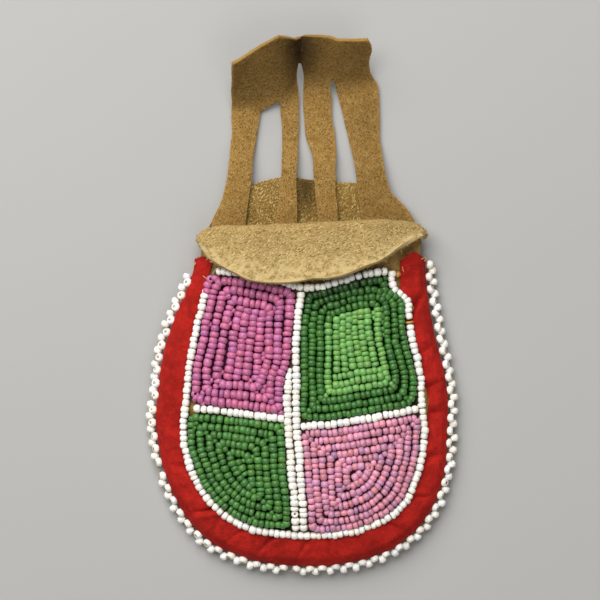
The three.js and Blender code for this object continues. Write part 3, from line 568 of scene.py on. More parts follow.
    def inside_outline(self, x, y):
        """Room left inside the white outline row, less than 0 outside it."""
        within = np.abs(x) < np.interp(y, self.half_line[:, 1], self.half_line[:, 0], left=0)
        away = distance_to(self.edge_line, x, y)
        return np.where(within, away, -away) - self.row_inset(x, y) - self.row_room

    def quarter(self, upper, left):
        """A function that gives the room inside one quarter of the face."""
        room = self.row_room

        def room_at(x, y):
            cross = self.cross_left_y(x) if left else self.cross_right_y(x)
            lane = self.left_lane_x(y) if left else self.lane_x(y)
            rooms = [self.inside_outline(x, y), (lane - x if left else x - lane) - room]
            if upper:
                rooms += [self.top_row_y(x) - room - y, y - cross - room]
            else:
                rooms += [cross - room - y]
            return soft_least(*rooms, blend=self.CORNER_BLEND)

        return room_at


def pick_only(piece):
    """Makes a piece the only one that the operators act on."""
    bpy.ops.object.select_all(action="DESELECT")
    piece.select_set(True)
    bpy.context.view_layer.objects.active = piece


def points_of(mesh):
    """The points of a mesh as an array."""
    flat = np.empty(3 * len(mesh.vertices))
    mesh.vertices.foreach_get("co", flat)
    return flat.reshape(-1, 3)


def add_grid(name, columns, rows):
    """Adds a grid and returns it with the shares across and along at each of its points."""
    bpy.ops.object.select_all(action="DESELECT")
    bpy.ops.mesh.primitive_grid_add(x_subdivisions=columns, y_subdivisions=rows, size=1)
    piece = bpy.context.object
    piece.name = name
    piece.data.name = name
    shares = points_of(piece.data) + 0.5
    return piece, shares[:, 0], shares[:, 1]


def shape_sheet(piece, points, **marks):
    """Lays a grid's points in place and notes marks on them, such as how near each is to a cut edge."""
    mesh = piece.data
    mesh.vertices.foreach_set("co", np.asarray(points).ravel())
    for name, values in marks.items():
        values = np.asarray(values, float)
        kind, part = ("FLOAT", "value") if values.ndim == 1 else ("FLOAT_COLOR", "color")
        mesh.attributes.new(name, kind, "POINT").data.foreach_set(part, values.ravel())
    mesh.update()


def spot(x, y, middle, reach):
    """A soft round mark, 1 in its middle, for a place and a reach in millimetres."""
    return np.exp(-(((x / MM - middle[0]) / reach[0]) ** 2) - ((y / MM - middle[1]) / reach[1]) ** 2)


def height_along(points, x):
    """The height at each place across of a smooth line through chosen points in millimetres."""
    return np.interp(x, *(rounded_line(points, LINE_POINTS) * MM).T)


# The bend from which a sheet's edge counts as cut, the steps that round it, and the pouch hides' rounding
CUT_ANGLE = math.radians(55)
CUT_STEPS = 2
HIDE_ROUNDING = 0.25 * MM


def thicken(piece, thickness, rounding):
    """Gives a sheet its thickness and rounds its cut edges."""
    pick_only(piece)
    wall = piece.modifiers.new("wall", "SOLIDIFY")
    wall.thickness = thickness
    wall.offset = 0
    bpy.ops.object.modifier_apply(modifier="wall")
    bevel = piece.modifiers.new("rounding", "BEVEL")
    bevel.width = rounding
    bevel.segments = CUT_STEPS
    bevel.limit_method = "ANGLE"
    bevel.angle_limit = CUT_ANGLE
    bpy.ops.object.modifier_apply(modifier="rounding")
    bpy.ops.object.mode_set(mode="EDIT")
    bpy.ops.mesh.select_all(action="SELECT")
    bpy.ops.mesh.normals_make_consistent(inside=False)
    bpy.ops.object.mode_set(mode="OBJECT")
    bpy.ops.object.shade_smooth()


def finish_piece(piece, finish, slot, *nodes):
    """Gives a piece its material, seats it on the bag's body and lets it stand for its solids."""
    piece.data.materials.clear()
    piece.data.materials.append(finish)
    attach(piece, BODY)
    if nodes:
        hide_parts(*nodes)


def mesh_piece(name, points, faces):
    """A new piece from points and faces."""
    mesh = bpy.data.meshes.new(name)
    mesh.from_pydata(points, [], faces)
    mesh.update()
    piece = bpy.data.objects.new(name, mesh)
    bpy.context.scene.collection.objects.link(piece)
    return piece


class Wire:
    """An output socket, so that shader maths can be written as Python expressions."""

    def __init__(self, finish, socket):
        self.finish = finish
        self.socket = socket

    def maths(self, operation, first, second):
        return self.finish.node("ShaderNodeMath", {"operation": operation}, {0: first, 1: second})

    def __add__(self, other):
        return self.maths("ADD", self, other)

    def __mul__(self, other):
        return self.maths("MULTIPLY", self, other)

    __radd__ = __add__
    __rmul__ = __mul__


class Finish:
    """A material with one shader and the nodes that feed it."""

    def __init__(self, name, constants):
        self.material = bpy.data.materials.new(name)
        self.material.use_nodes = True
        self.tree = self.material.node_tree
        self.shader = self.tree.nodes["Principled BSDF"]
        for socket, value in constants.items():
            self.shader.inputs[socket].default_value = value

    def node(self, kind, settings, inputs, output=0):
        """Adds one node, sets it up, feeds its sockets and returns one of its outputs."""
        made = self.tree.nodes.new(kind)
        for key, value in settings.items():
            setattr(made, key, value)
        for key, value in inputs.items():
            self.feed(made.inputs[key], value)
        return Wire(self, made.outputs[output])

    def feed(self, socket, value):
        """Links or sets one socket."""
        if isinstance(value, Wire):
            self.tree.links.new(value.socket, socket)
        else:
            socket.default_value = value

    def shade(self, socket, value):
        """Feeds one socket of the shader."""
        self.feed(self.shader.inputs[socket], value)

    def place(self):
        """Place on the piece, in metres."""
        return self.node("ShaderNodeTexCoord", {}, {}, "Object")

    def stretched(self, place, longer, turn):
        """A place stretched along one way, for fibres that are so much longer than wide."""
        sockets = {"Vector": place, "Scale": (longer, 1.0, 1.0), "Rotation": (0, 0, turn)}
        return self.node("ShaderNodeMapping", {"vector_type": "TEXTURE"}, sockets)

    def cloud(self, place, width, detail=2.0, roughness=0.55, swirl=0.0):
        """Soft noise whose blots are about as wide as given."""
        sockets = {"Vector": place, "Scale": 1 / width, "Detail": detail, "Roughness": roughness}
        return self.node("ShaderNodeTexNoise", {}, {**sockets, "Distortion": swirl})

    def step(self, value, low, high):
        """An even step from 0 at low to 1 at high."""
        sockets = {"Value": value, "From Min": low, "From Max": high}
        return self.node("ShaderNodeMapRange", {"interpolation_type": "SMOOTHSTEP"}, sockets)

    def mix(self, share, first, second):
        """One colour laid over another."""
        return self.node("ShaderNodeMix", {"data_type": "RGBA"}, {0: share, 6: first, 7: second}, 2)

    def layers(self, body, *coats):
        """A colour with other colours laid over it in turn, each with its share."""
        for share, coat in coats:
            body = self.mix(share, body, coat)
        return body

    def mark(self, name, output="Fac"):
        """A mark noted on the points of the piece."""
        return self.node("ShaderNodeAttribute", {"attribute_name": name}, {}, output)

    def bump(self, height, depth):
        """Feeds a height, in depths of the given size, to the shader's normal."""
        sockets = {"Strength": 1.0, "Distance": depth, "Height": height}
        self.shade("Normal", self.node("ShaderNodeBump", {}, sockets))


def solid(shade):
    """A colour property as a socket's value."""
    return (*shade, 1.0)


def blend(share, first, second):
    """A socket's value between two others."""
    return tuple(a * (1 - share) + b * share for a, b in zip(first, second))


def scaled(shade, *parts):
    """A colour property as a socket's value, with each of its parts made stronger or weaker."""
    return solid(min(1.0, value * part) for value, part in zip(shade, parts))


def hide_finish(name, colours, rim, soil=None):
    """Soft napped hide: blots, dark specks, pale raised fibres, soiled places and painted shade where marked,
    and a paler cut edge.
    """
    finish = Finish(name, {
        "Roughness": 0.95, "Specular IOR Level": 0.12,
        "Sheen Weight": 0.06, "Sheen Roughness": 0.45, "Sheen Tint": (1.0, 0.8, 0.5, 1.0),
    })
    pale_share, longer, width, turns = NAPS[name]
    place = finish.place()
    blot = finish.cloud(place, 8 * MM, 4)
    mottle = finish.cloud(place, 1.7 * MM, 3)
    ways = (finish.stretched(place, longer, turn) for turn in turns)
    speck, nap = (finish.cloud(way, width * MM, 1, 0.6, 0.4) for way in ways)
    clean = solid(getattr(colours, name))
    raised = solid(colours.hide_nap)
    dark = blend(0.8, clean, solid(colours.hide_shade))
    ground = finish.mark(soil, "Color") if soil else solid(colours.hide_soil)
    body = finish.layers(
        blend(0.25, clean, dark),
        (finish.step(blot, 0.3, 0.7), clean),
        (finish.step(mottle, 0.5, 0.75) * 0.4, blend(0.5, clean, raised)),
        (finish.step(mottle, 0.5, 0.25) * 0.35, dark),
        (finish.step(speck, 0.48, 0.34), dark),
        (finish.step(nap, 0.54, 0.68) * pale_share, raised),
        (finish.mark("pale") * finish.step(mottle, 0.35, 0.62), raised),
        # Soil, and painted shade, where the piece marks them
        (finish.mark("stain") * (0.75 + mottle * 0.3), ground),
        (finish.mark("edge") * 0.5, solid(rim)),
    )
    finish.shade("Base Color", body)
    finish.bump(speck * 0.5 + nap * 0.5 + mottle, 0.4 * MM)
    return finish.material


def cloth_finish(colours):
    """Red wool cloth: a fine felted weave, worn paler on the ridges."""
    finish = Finish("red_cloth", {
        "Roughness": 0.88, "Specular IOR Level": 0.15,
        "Sheen Weight": 0.05, "Sheen Roughness": 0.4, "Sheen Tint": (1.0, 0.45, 0.38, 1.0),
    })
    place = finish.place()
    red = solid(colours.red_cloth)
    deep = scaled(colours.red_cloth, 0.55, 0.5, 0.5)
    worn = scaled(colours.red_cloth, 1.25, 1.5, 1.4)
    blot = finish.cloud(place, 6 * MM, 4)
    mottle = finish.cloud(place, 1.6 * MM, 3)
    felt = finish.cloud(place, 0.4 * MM, 2, 0.6)
    body = finish.layers(
        blend(0.6, red, deep),
        (finish.step(blot, 0.36, 0.62), red),
        (finish.step(mottle, 0.5, 0.25) * 0.5, deep),
        (finish.step(mottle, 0.5, 0.7) * 0.5, worn),
        (finish.step(felt, 0.55, 0.3) * 0.3, deep),
    )
    finish.shade("Base Color", body)
    finish.bump(felt * 0.6 + mottle + blot * 1.5, 0.22 * MM)
    return finish.material


def glass_finish(name):
    """Opaque bead glass with a tint for each bead and a slightly worn shine."""
    finish = Finish(name, {"Specular IOR Level": 0.45, "IOR": 1.5})
    tint = finish.mark("tint", "Color")
    worn = finish.cloud(finish.place(), 0.6 * MM, 3, 0.6)
    settings = {"data_type": "RGBA", "blend_type": "MULTIPLY"}
    sockets = {0: finish.step(worn, 0.62, 0.4) * 0.5, 6: tint, 7: (0.66, 0.62, 0.58, 1.0)}
    finish.shade("Base Color", finish.node("ShaderNodeMix", settings, sockets, 2))
    finish.shade("Roughness", 0.27 + finish.step(worn, 0.35, 0.7) * 0.22)
    finish.bump(worn, 0.05 * MM)
    return finish.material


def thread_finish(name, shade):
    """Twisted sewing thread."""
    finish = Finish(name, {"Roughness": 0.8, "Specular IOR Level": 0.2})
    strands = finish.cloud(finish.place(), 0.25 * MM, 2, 0.7)
    dark = scaled(shade, 0.55, 0.55, 0.55)
    finish.shade("Base Color", finish.mix(finish.step(strands, 0.3, 0.65), dark, solid(shade)))
    finish.bump(strands, 0.1 * MM)
    return finish.material


def floor_finish(shade):
    """A plain pale floor."""
    finish = Finish("floor", {"Roughness": 0.9, "Specular IOR Level": 0.1})
    cloud = finish.cloud(finish.place(), 120 * MM, 2)
    finish.shade("Base Color", finish.mix(cloud, scaled(shade, 0.96, 0.96, 0.96), solid(shade)))
    return finish.material


# A bead's profile, along its hole and out from it, as shares of half its length and half its width
ROW_PROFILE = (
    (0.0, 1.0), (0.6, 0.92), (0.94, 0.64), (0.9, 0.38),
    (0.0, 0.25), (-0.9, 0.38), (-0.94, 0.64), (-0.6, 0.92),
)
RING_PROFILE = ((0.0, 1.0), (0.82, 0.76), (0.86, 0.38), (0.0, 0.3), (-0.86, 0.38), (-0.82, 0.76))
ROW_SIDES = 8
RING_SIDES = 12


def model_bead(profile, sides):
    """Models one bead along x, one unit from its middle to its ends and sides."""
    bpy.ops.object.select_all(action="DESELECT")
    bpy.ops.mesh.primitive_torus_add(
        major_segments=sides, minor_segments=len(profile), major_radius=1, minor_radius=0.5
    )
    bead = bpy.context.object
    ring = points_of(bead.data)
    turn = np.arctan2(ring[:, 1], ring[:, 0])
    section = np.arctan2(ring[:, 2], np.hypot(ring[:, 0], ring[:, 1]) - 1)
    place = np.round(section / (2 * math.pi) * len(profile)).astype(int) % len(profile)
    hole, out = np.array(profile)[place].T
    points = joined(hole, out * np.cos(turn), out * np.sin(turn))
    faces = np.array([tuple(polygon.vertices) for polygon in bead.data.polygons])
    bpy.data.objects.remove(bead)
    return points, faces


class Beads:
    """Beads gathered for one piece."""

    # Spread and limits of the beads' lengths and widths, as shares of the mean
    RUN_SPREAD = 0.14
    RUN_LIMITS = (0.7, 1.35)
    WIDTH_SPREAD = 0.06
    WIDTH_LIMITS = (0.86, 1.12)
    # How much longer a bead is than its stretch of thread, to touch the next one
    RUN_TOUCH = (1.03, 1.13)
    # How far the beads stray from the line and how far their holes turn and tip
    PLACE_SPREAD = 0.08 * MM
    TURN_SPREAD = 0.09
    TIP_SPREAD = 0.05
    # Slow drift of a whole line
    DRIFT_RUN = 7 * MM
    DRIFT_SEEDS = (31, 32)
    # Warm cast and tint of odd beads by red, green and blue, and where those begin
    WARM_TINT = (0.5, 0.0, -0.6)
    ODD_TINT = (1.8, 1.4, 0.6)
    ODD_FROM = 1.4
    # Search for holes that small beads fill: width and height, step, least room and most beads
    FILL_REACH = (40 * MM, 80 * MM)
    FILL_STEP = 0.3 * MM
    LEAST_HOLE = 0.37 * MM
    FILL_MOST = 140
    # Those beads are wider than their hole by the crowding, within limits, and shorter than wide
    FILL_CROWD = 0.55 * MM
    FILL_WIDTHS = (1.5 * MM, 2.1 * MM)
    FILL_RUN = 0.8
    # How near in mm an odd bead lies to its noted place, the way of a turned hole, and half an amber bead
    ODD_REACH = 1.2
    HOLE_UP = (0.15, 0.1, 1.0)
    AMBER_HALF = 0.36 * MM
    # Step by which the slope of the face is found
    SLOPE_STEP = 0.4 * MM

    def __init__(self, bag, seed, profile=ROW_PROFILE, sides=ROW_SIDES):
        self.bag = bag
        self.width = bag.bead.width
        self.run = bag.bead.run
        self.shadow_at = None
        self.shade_at = None
        self.template = model_bead(profile, sides)
        self.rng = np.random.default_rng(seed)
        self.middles = []
        self.holes = []
        self.ups = []
        self.halves = []
        self.tints = []

    def add(self, middle, hole, up, run, width, tint):
        """Adds one bead, with the ways of its hole and of its upper side."""
        self.middles.append(middle)
        self.holes.append(hole)
        self.ups.append(up)
        self.halves.append((run / 2, width / 2, width / 2))
        self.tints.append(tint)

    def tint(self, shade, spread):
        """A bead's own tint, a little off the colour of its lot."""
        warm, light, odd = self.rng.normal(0, 1, 3)
        change = 1 + spread * warm * np.array(self.WARM_TINT)
        if odd > self.ODD_FROM:
            change = change * (1 - spread * np.array(self.ODD_TINT))
        return np.clip(np.array(shade) * change * (1 + spread * light), 0, 1)

    def sew(self, line, closed, shade, spread=0.12, shake=0.45, width_at=None):
        """Strings beads of uneven length along a line on the face, so that they touch."""
        whole = run_along(line)[-1]
        count = max(3 if closed else 1, round(whole / self.run))
        runs = np.clip(self.rng.normal(1, self.RUN_SPREAD, count), *self.RUN_LIMITS)
        runs *= whole / runs.sum()
        ends = np.concatenate([[0], np.cumsum(runs)])
        start = along(line, ends[:-1])
        end = along(line, ends[1:])
        middle = (start + end) / 2
        drift = np.column_stack([middle, np.zeros(count)])
        middle = middle + shake * MM * two_ripples(drift, self.DRIFT_RUN, self.DRIFT_SEEDS)
        for k in range(count):
            ahead = end[k] - start[k]
            width = width_at(middle[k][1]) if width_at else None
            place = middle[k] + self.rng.normal(0, self.PLACE_SPREAD, 2)
            self.lay(place, ahead, runs[k], shade, spread, width)

    def fill(self, wanted, corner, shade, spread):
        """Lays small beads in the holes that the rounds leave where beads are wanted."""
        sides = (start + np.arange(0, reach, self.FILL_STEP) for start, reach in zip(corner, self.FILL_REACH))
        x, y = (axis.ravel() for axis in np.meshgrid(*sides))
        spots = joined(x, y)[wanted(x, y)]
        free = np.full(len(spots), np.inf)
        for k in range(len(self.middles)):
            free = np.minimum(free, self.clearance(k, spots))
        for _ in range(self.FILL_MOST):
            widest = free.argmax()
            if free[widest] < self.LEAST_HOLE:
                break
            nearest = np.linalg.norm(np.array(self.middles)[:, :2] - spots[widest], axis=1).argmin()
            size = np.clip(2 * free[widest] + self.FILL_CROWD, *self.FILL_WIDTHS)
            self.lay(spots[widest], self.holes[nearest][:2], self.FILL_RUN * size, shade, spread, size)
            free = np.minimum(free, self.clearance(len(self.middles) - 1, spots))

    def clearance(self, k, spots):
        """Room between one bead and each of some places beside it."""
        apart = spots - self.middles[k][:2]
        hole = self.holes[k][:2] / max(np.linalg.norm(self.holes[k][:2]), TINY)
        along_hole = apart @ hole / self.halves[k][0]
        across_hole = apart @ np.array([-hole[1], hole[0]]) / self.halves[k][1]
        shares = np.maximum(np.hypot(along_hole, across_hole), TINY)
        return np.linalg.norm(apart, axis=1) * (1 - 1 / shares)

    def make_odd(self, amber):
        """Turns the beads at chosen places with the hole up, and gives others amber glass."""
        middles = np.array(self.middles)[:, :2] / MM
        for places, turned in ((TURNED_BEADS, True), (AMBER_BEADS, False)):
            for place in places:
                apart = np.linalg.norm(middles - np.array(place), axis=1)
                nearest = apart.argmin()
                if apart[nearest] > self.ODD_REACH:
                    continue
                if turned:
                    self.ups[nearest] = np.array([1.0, 0.0, 0.0])
                    self.holes[nearest] = np.array(self.HOLE_UP)
                else:
                    self.tints[nearest] = np.array(amber)
                    self.halves[nearest] = (self.AMBER_HALF, *self.halves[nearest][1:])

    def lay(self, place, ahead, run, shade, spread, width=None):
        """Lays one bead on the face of the bag, with its hole along the row."""
        bead = self.bag.bead
        x, y = place
        if self.shade_at:
            shade = self.shade_at(x, y, shade)
        step = self.SLOPE_STEP
        across = np.array([x, x - step, x + step, x, x])
        along_y = np.array([y, y, y, y - step, y + step])
        nearby = self.bag.front(across, along_y, self.bag.size.hide / 2)
        up = np.array([nearby[1] - nearby[2], nearby[3] - nearby[4], 2 * step])
        up /= np.linalg.norm(up)
        width = (width or self.width) * np.clip(self.rng.normal(1, self.WIDTH_SPREAD), *self.WIDTH_LIMITS)
        hole = np.array([*ahead, 0.0])
        hole /= np.linalg.norm(hole)
        hole += np.append(self.rng.normal(0, self.TURN_SPREAD, 2), 0)
        hole -= up * (hole @ up) + self.rng.normal(0, self.TIP_SPREAD) * up
        middle = np.array([x, y, nearby[0]]) + up * (width / 2 + bead.lift)
        tint = self.tint(shade, spread)
        if self.shadow_at:
            tint = tint * self.shadow_at(x, y)
        self.add(middle, hole, up, run * self.rng.uniform(*self.RUN_TOUCH), width, tint)

    def piece(self, name):
        """Makes one mesh of all the beads."""
        template, faces = self.template
        holes = np.array(self.holes)
        holes /= np.linalg.norm(holes, axis=1)[:, None]
        sides = np.cross(np.array(self.ups), holes)
        sides /= np.linalg.norm(sides, axis=1)[:, None]
        axes = np.stack([holes, sides, np.cross(holes, sides)], axis=1) * np.array(self.halves)[:, :, None]
        middles = self.bag.in_frame(self.middles)
        points = (template @ axes + middles[:, None, :]).reshape(-1, 3)
        copies = np.arange(len(middles))[:, None, None] * len(template)
        made = mesh_piece(name, points, (faces + copies).reshape(-1, faces.shape[1]).tolist())
        shades = np.repeat(np.column_stack([self.tints, np.ones(len(middles))]), len(template), axis=0)
        made.data.attributes.new("tint", "FLOAT_COLOR", "POINT").data.foreach_set("color", shades.ravel())
        made.data.polygons.foreach_set("use_smooth", np.ones(len(made.data.polygons), bool))
        return made


class Rounds:
    """Closed lines that follow the edge of a field inwards."""

    RAYS = 240
    REACH_STEP = 0.2 * MM
    GRID_STEP = 0.5 * MM
    # Room less than the most that still counts as the middle of a field
    MIDDLE_ROOM = 0.25 * MM
    # Part of a row that may be missing before there is one row fewer
    ROW_SLACK = 0.2
    # Rows from the deepest place to the single row in the middle, and that row's number of points
    RIDGE_ROWS = 0.3
    RIDGE_POINTS = 8
    # Part of a row at each side of the rounds in which no hole is filled
    DEPTH_MARGIN = 0.15
    # Step along a column, and which part of the heights, at either end, is too round to set its slant
    COLUMN_STEP = 0.1 * MM
    ROUND_PART = 5

    def __init__(self, room_at, pitch, low, high):
        self.room_at = room_at
        x, y = np.meshgrid(*(np.arange(start, end, self.GRID_STEP) for start, end in zip(low, high)))
        room = room_at(x, y)
        deep = room > room.max() - self.MIDDLE_ROOM
        self.middle = np.array([x[deep].mean(), y[deep].mean()])
        self.deepest = room.max()
        self.grid = x, y, room
        # The number of rows from edge to middle is counted in halves: a last half is a single row
        self.rows = math.ceil(2 * self.deepest / pitch - self.ROW_SLACK) / 2
        self.pitch = self.deepest / self.rows
        turn = np.linspace(0, 2 * math.pi, self.RAYS + 1)
        self.ways = joined(np.cos(turn), np.sin(turn))
        self.reaches = np.arange(0, np.hypot(*(np.array(high) - low)), self.REACH_STEP)
        x, y = (self.middle[k] + self.ways[:, k, None] * self.reaches for k in (0, 1))
        self.rooms = room_at(x, y)

    def line(self, depth):
        """The closed line at a depth inside the field."""
        past = np.argmax(self.rooms < depth, axis=1)
        before = np.maximum(past - 1, 0)
        rays = np.arange(len(past))
        near, far = self.rooms[rays, before], self.rooms[rays, past]
        share = np.clip((near - depth) / np.maximum(near - far, TINY), 0, 1)
        reach = (before + share) * self.REACH_STEP
        return self.middle + self.ways * reach[:, None]

    def between(self, first, last):
        """A function that tells whether a place lies among the rounds from one count to another."""
        near = (first + self.DEPTH_MARGIN) * self.pitch
        far = (last - self.DEPTH_MARGIN) * self.pitch

        def wanted(x, y):
            room = self.room_at(x, y)
            return (room > near) & (room < far)

        return wanted

    def lines(self, first, last):
        """The rounds from one count to another, and the single row in the middle if the last is left open."""
        counts = range(first, min(last, int(self.rows)))
        found = [(self.line((k + 0.5) * self.pitch), True) for k in counts]
        if last > self.rows and self.rows % 1:
            ridge = self.line(self.deepest - self.RIDGE_ROWS * self.pitch)
            apart = np.linalg.norm(ridge[:, None] - ridge[None], axis=-1)
            ends = np.unravel_index(apart.argmax(), apart.shape)
            found.append((resample(ridge[list(ends)], self.RIDGE_POINTS), False))
        return found

    def columns(self, first, feet):
        """Rows side by side in the room inside a number of rounds, down to a few rows across."""
        x, y, room = self.grid
        depth = first * self.pitch
        heights = y[(room > depth).any(axis=1), 0]
        sides = np.array([x[0][line > depth][[0, -1]] for line in room if (line > depth).any()])
        middle = slice(len(heights) // self.ROUND_PART, -len(heights) // self.ROUND_PART)
        left, right = (np.polyfit(heights[middle], side, 1) for side in sides[middle].T)
        up = np.arange(heights[0] - MM, heights[-1] + MM, self.COLUMN_STEP)
        count = round((sides[middle, 1] - sides[middle, 0]).mean() / self.pitch)
        found = []
        ends = []
        for share in (np.arange(count) + 0.5) / count:
            across = np.polyval(left, up) * (1 - share) + np.polyval(right, up) * share
            column = joined(across, up)[self.room_at(across, up) > depth]
            if len(column) * self.COLUMN_STEP > (feet + 1) * self.pitch:
                ends.append(column[0])
                found.append((column[column[:, 1] > column[0, 1] + feet * self.pitch], False))
        ends = np.array([1.5 * ends[0] - 0.5 * ends[1], *ends, 1.5 * ends[-1] - 0.5 * ends[-2]])
        for k in range(feet):
            found.append((ends + (0, (k + 0.5) * self.pitch), False))
        return found


class BagOperator(bpy.types.Operator):
    """What the bag's operators share."""

    bl_options = {"REGISTER"}

    def execute(self, context):
        self.bag = Bag(context.scene)
        self.size = context.scene.bag_sizes
        self.colours = context.scene.bag_colours
        self.build()
        return {"FINISHED"}


class PUZZLE_OT_back_hide(BagOperator):
    """Lays the back hide with its rounded tongue"""

    bl_idname = "puzzle.back_hide"
    bl_label = "Back hide"

    COLUMNS = 72
    BODY_ROWS = 76
    TONGUE_ROWS = 16
    # Least height of the tongue, where its rounded corners run down past the mouth
    LEAST_TONGUE = 1.5 * MM
    # Heave of the tongue and stray of its cut edge
    HEAVE = 0.5 * MM
    STRAY = 0.3 * MM
    # Strength of the painted shade in the middle of the tongue and of the painted shade to its right
    STAIN = 0.9
    SHADE = 0.08

    def build(self):
        bag = self.bag
        rows = self.BODY_ROWS + self.TONGUE_ROWS
        piece, across, up = add_grid("back_hide", self.COLUMNS, rows)
        s = np.sin((across - 0.5) * math.pi)
        row = up * rows
        top = height_along(BACK_TONGUE_TOP, bag.mouth_half * s)
        mouth = np.minimum(0, top - self.LEAST_TONGUE)
        half, y = bag.hide_rows(row, self.BODY_ROWS, mouth)
        share = np.clip((row - self.BODY_ROWS) / self.TONGUE_ROWS, 0, 1)
        x = half * s
        y = y + share * (top - mouth)
        points = joined(x, y, bag.back_middle(x, y))
        heave = (ripple(points, 14 * MM, 1) + 0.6).clip(0)
        points[:, 2] += self.HEAVE * heave * smooth(share * 2)
        points[:, :2] += self.STRAY * two_ripples(points, 5 * MM, (2, 3))
        edge = np.where(row >= rows - 0.5, 1.0, 0.0)
        # The tongue gets painted shade between the straps and towards its right side
        stain = self.STAIN * spot(x, y, *TONGUE_PAINTED_SHADE) + self.SHADE * smooth((x - 6 * MM) / (3 * MM))
        stain *= smooth(share * 4)
        shape_sheet(piece, bag.in_frame(points), edge=0.4 * edge, stain=stain, pale=0 * x, nap=0.7 * edge)
        thicken(piece, self.size.hide, HIDE_ROUNDING)
        finish = hide_finish("back_hide", self.colours, self.colours.hide_edge)
        finish_piece(piece, finish, "hide", "back_panel")


class PUZZLE_OT_front_hide(BagOperator):
    """Lays the front hide and folds its tongue down over the beads"""

    bl_idname = "puzzle.front_hide"
    bl_label = "Front hide"

    COLUMNS = 110
    BODY_ROWS = 70
    FOLD_ROWS = 10
    TONGUE_ROWS = 30
    # Share of the width past which a point lies on a cut end of the tongue
    END_SHARE = 0.495
    # How far the ends of the fold stand out past the mouth
    END_FLARE = 1.2 * MM
    # Waves of the hanging tongue, lift of its lower edge and stray of its cut
    WAVE = 0.45 * MM
    EDGE_LIFT = 1.3 * MM
    STRAY = 0.35 * MM
    # Strength of the painted shade under the beads, and of the stains at the bare rim of the face and on the
    # fold
    BEAD_STAIN = 1.2
    RIM_STAIN = 0.6
    FOLD_STAIN = 0.14
    # Strength of the ground's colours: glass between its beads, as painted reflected light within the painted
    # shade, thread under the rows, darkened as painted shade, and bare hide
    GLASS_GROUND = 0.14
    THREAD_GROUND = 0.3
    BARE_GROUND = 0.85
    # Strength of the wear on the tongue, of its scar and of the paler nap towards its lower edge
    WEAR = 0.7
    SCAR = 2.2
    LOW_NAP = 0.8

    def build(self):
        bag = self.bag
        size = self.size
        colours = self.colours
        rows = self.BODY_ROWS + self.FOLD_ROWS + self.TONGUE_ROWS
        piece, across, up = add_grid("front_hide", self.COLUMNS, rows)
        s = np.sin((across - 0.5) * math.pi)
        row = up * rows
        fold = height_along(TONGUE_FOLD, bag.mouth_half * s) - bag.fold_radius
        half, y = bag.hide_rows(row, self.BODY_ROWS, fold)
        x = half * s
        z = bag.front(x, y)
        bend = np.clip((row - self.BODY_ROWS) / self.FOLD_ROWS, 0, 1)
        y = y + bag.fold_radius * np.sin(math.pi * bend)
        z = z + bag.fold_radius * (1 - np.cos(math.pi * bend))
        share = np.clip((row - self.BODY_ROWS - self.FOLD_ROWS) / self.TONGUE_ROWS, 0, 1)
        y = y + share * (height_along(TONGUE_REACH, x) - fold)
        over_beads = size.hide + 2 * size.rest_gap + bag.bead.width + size.tongue_ease
        clear = 2 * bag.fold_radius + (over_beads - 2 * bag.fold_radius) * smooth(share)
        z = np.where(share > 0, bag.front(x, y) + clear, z)
        x = x + self.END_FLARE * np.sign(s) * np.abs(s) ** 8 * smooth(bend) * (1 - share**2)
        points = joined(x, y, z)
        wave = ripple(points, 11 * MM, 4) + 0.5 * ripple(points, 5 * MM, 5)
        points[:, 2] += self.WAVE * wave * smooth(share * 1.6) + self.EDGE_LIFT * share**4
        points[:, 1] += self.STRAY * ripple(points, 4 * MM, 6) * smooth(bend)
        ends = (np.abs(across - 0.5) > self.END_SHARE) & (bend > 0)
        edge = np.where(ends | (row >= rows - 0.5), 1.0, 0.0)
        stain, soil = self.soiling(x, y, bend, share)
        pale = self.WEAR * spot(x, y, *TONGUE_WEAR) + self.SCAR * spot(x, y, *TONGUE_SCAR)
        pale = np.maximum(pale, self.LOW_NAP * smooth((share - 0.4) / 0.5)) * smooth(share * 2)
        crest = np.exp(-(((bend - 0.55) / 0.3) ** 2))
        nap = np.maximum(edge, 0.8 * crest) + 0.1 * (share > 0)
        shape_sheet(piece, bag.in_frame(points), edge=edge, stain=stain, pale=pale, nap=nap, soil=soil)
        thicken(piece, size.hide, HIDE_ROUNDING)
        finish = hide_finish("front_hide", colours, colours.hide_nap, "soil")
        finish_piece(piece, finish, "hide", "front_panel")

    def soiling(self, x, y, bend, share):
        """How soiled and shaded each point is and the colour laid there: painted shade between the beads,
        tinted with their glass as painted reflected light, thread under the white rows, and golden bare hide
        on the rim.
        """
        bag = self.bag
        folded = smooth(bend * 2)
        under_top_row = smooth((bag.top_row_y(x) + 1.5 * MM - y) / MM)
        under_beads = smooth((bag.inside_outline(x, y) + 2 * MM) / MM) * under_top_row
        # Painted shade under the beads, seen in the gaps between them
        stain = self.BEAD_STAIN * under_beads * (1 - folded)
        stain += self.FOLD_STAIN * folded * np.exp(-7 * share)
        stain += self.RIM_STAIN * (1 - under_beads) * (1 - folded)
        bare = (1 - under_beads)[:, None]
        hide = self.BARE_GROUND * np.array(solid(self.colours.hide_edge))
        soil = bare * hide + (1 - bare) * self.THREAD_GROUND * np.array(solid(self.colours.thread))
        for name, (upper, left, first, _, _) in FIELDS.items():
            if first > 0:
                continue
            # Between a field's beads the painted shade takes the tint of their glass, as painted reflected
            # light
            glass = self.GLASS_GROUND * np.array(solid(getattr(self.colours, f"{name}_glass")))
            inside = smooth((bag.quarter(upper, left)(x, y) + MM) / MM)[:, None]
            soil = soil * (1 - inside) + glass * inside
        near = np.minimum(1, 1.4 * spot(x, y, *BARE_SPOT))[:, None]
        return stain, soil * (1 - near) + hide * near


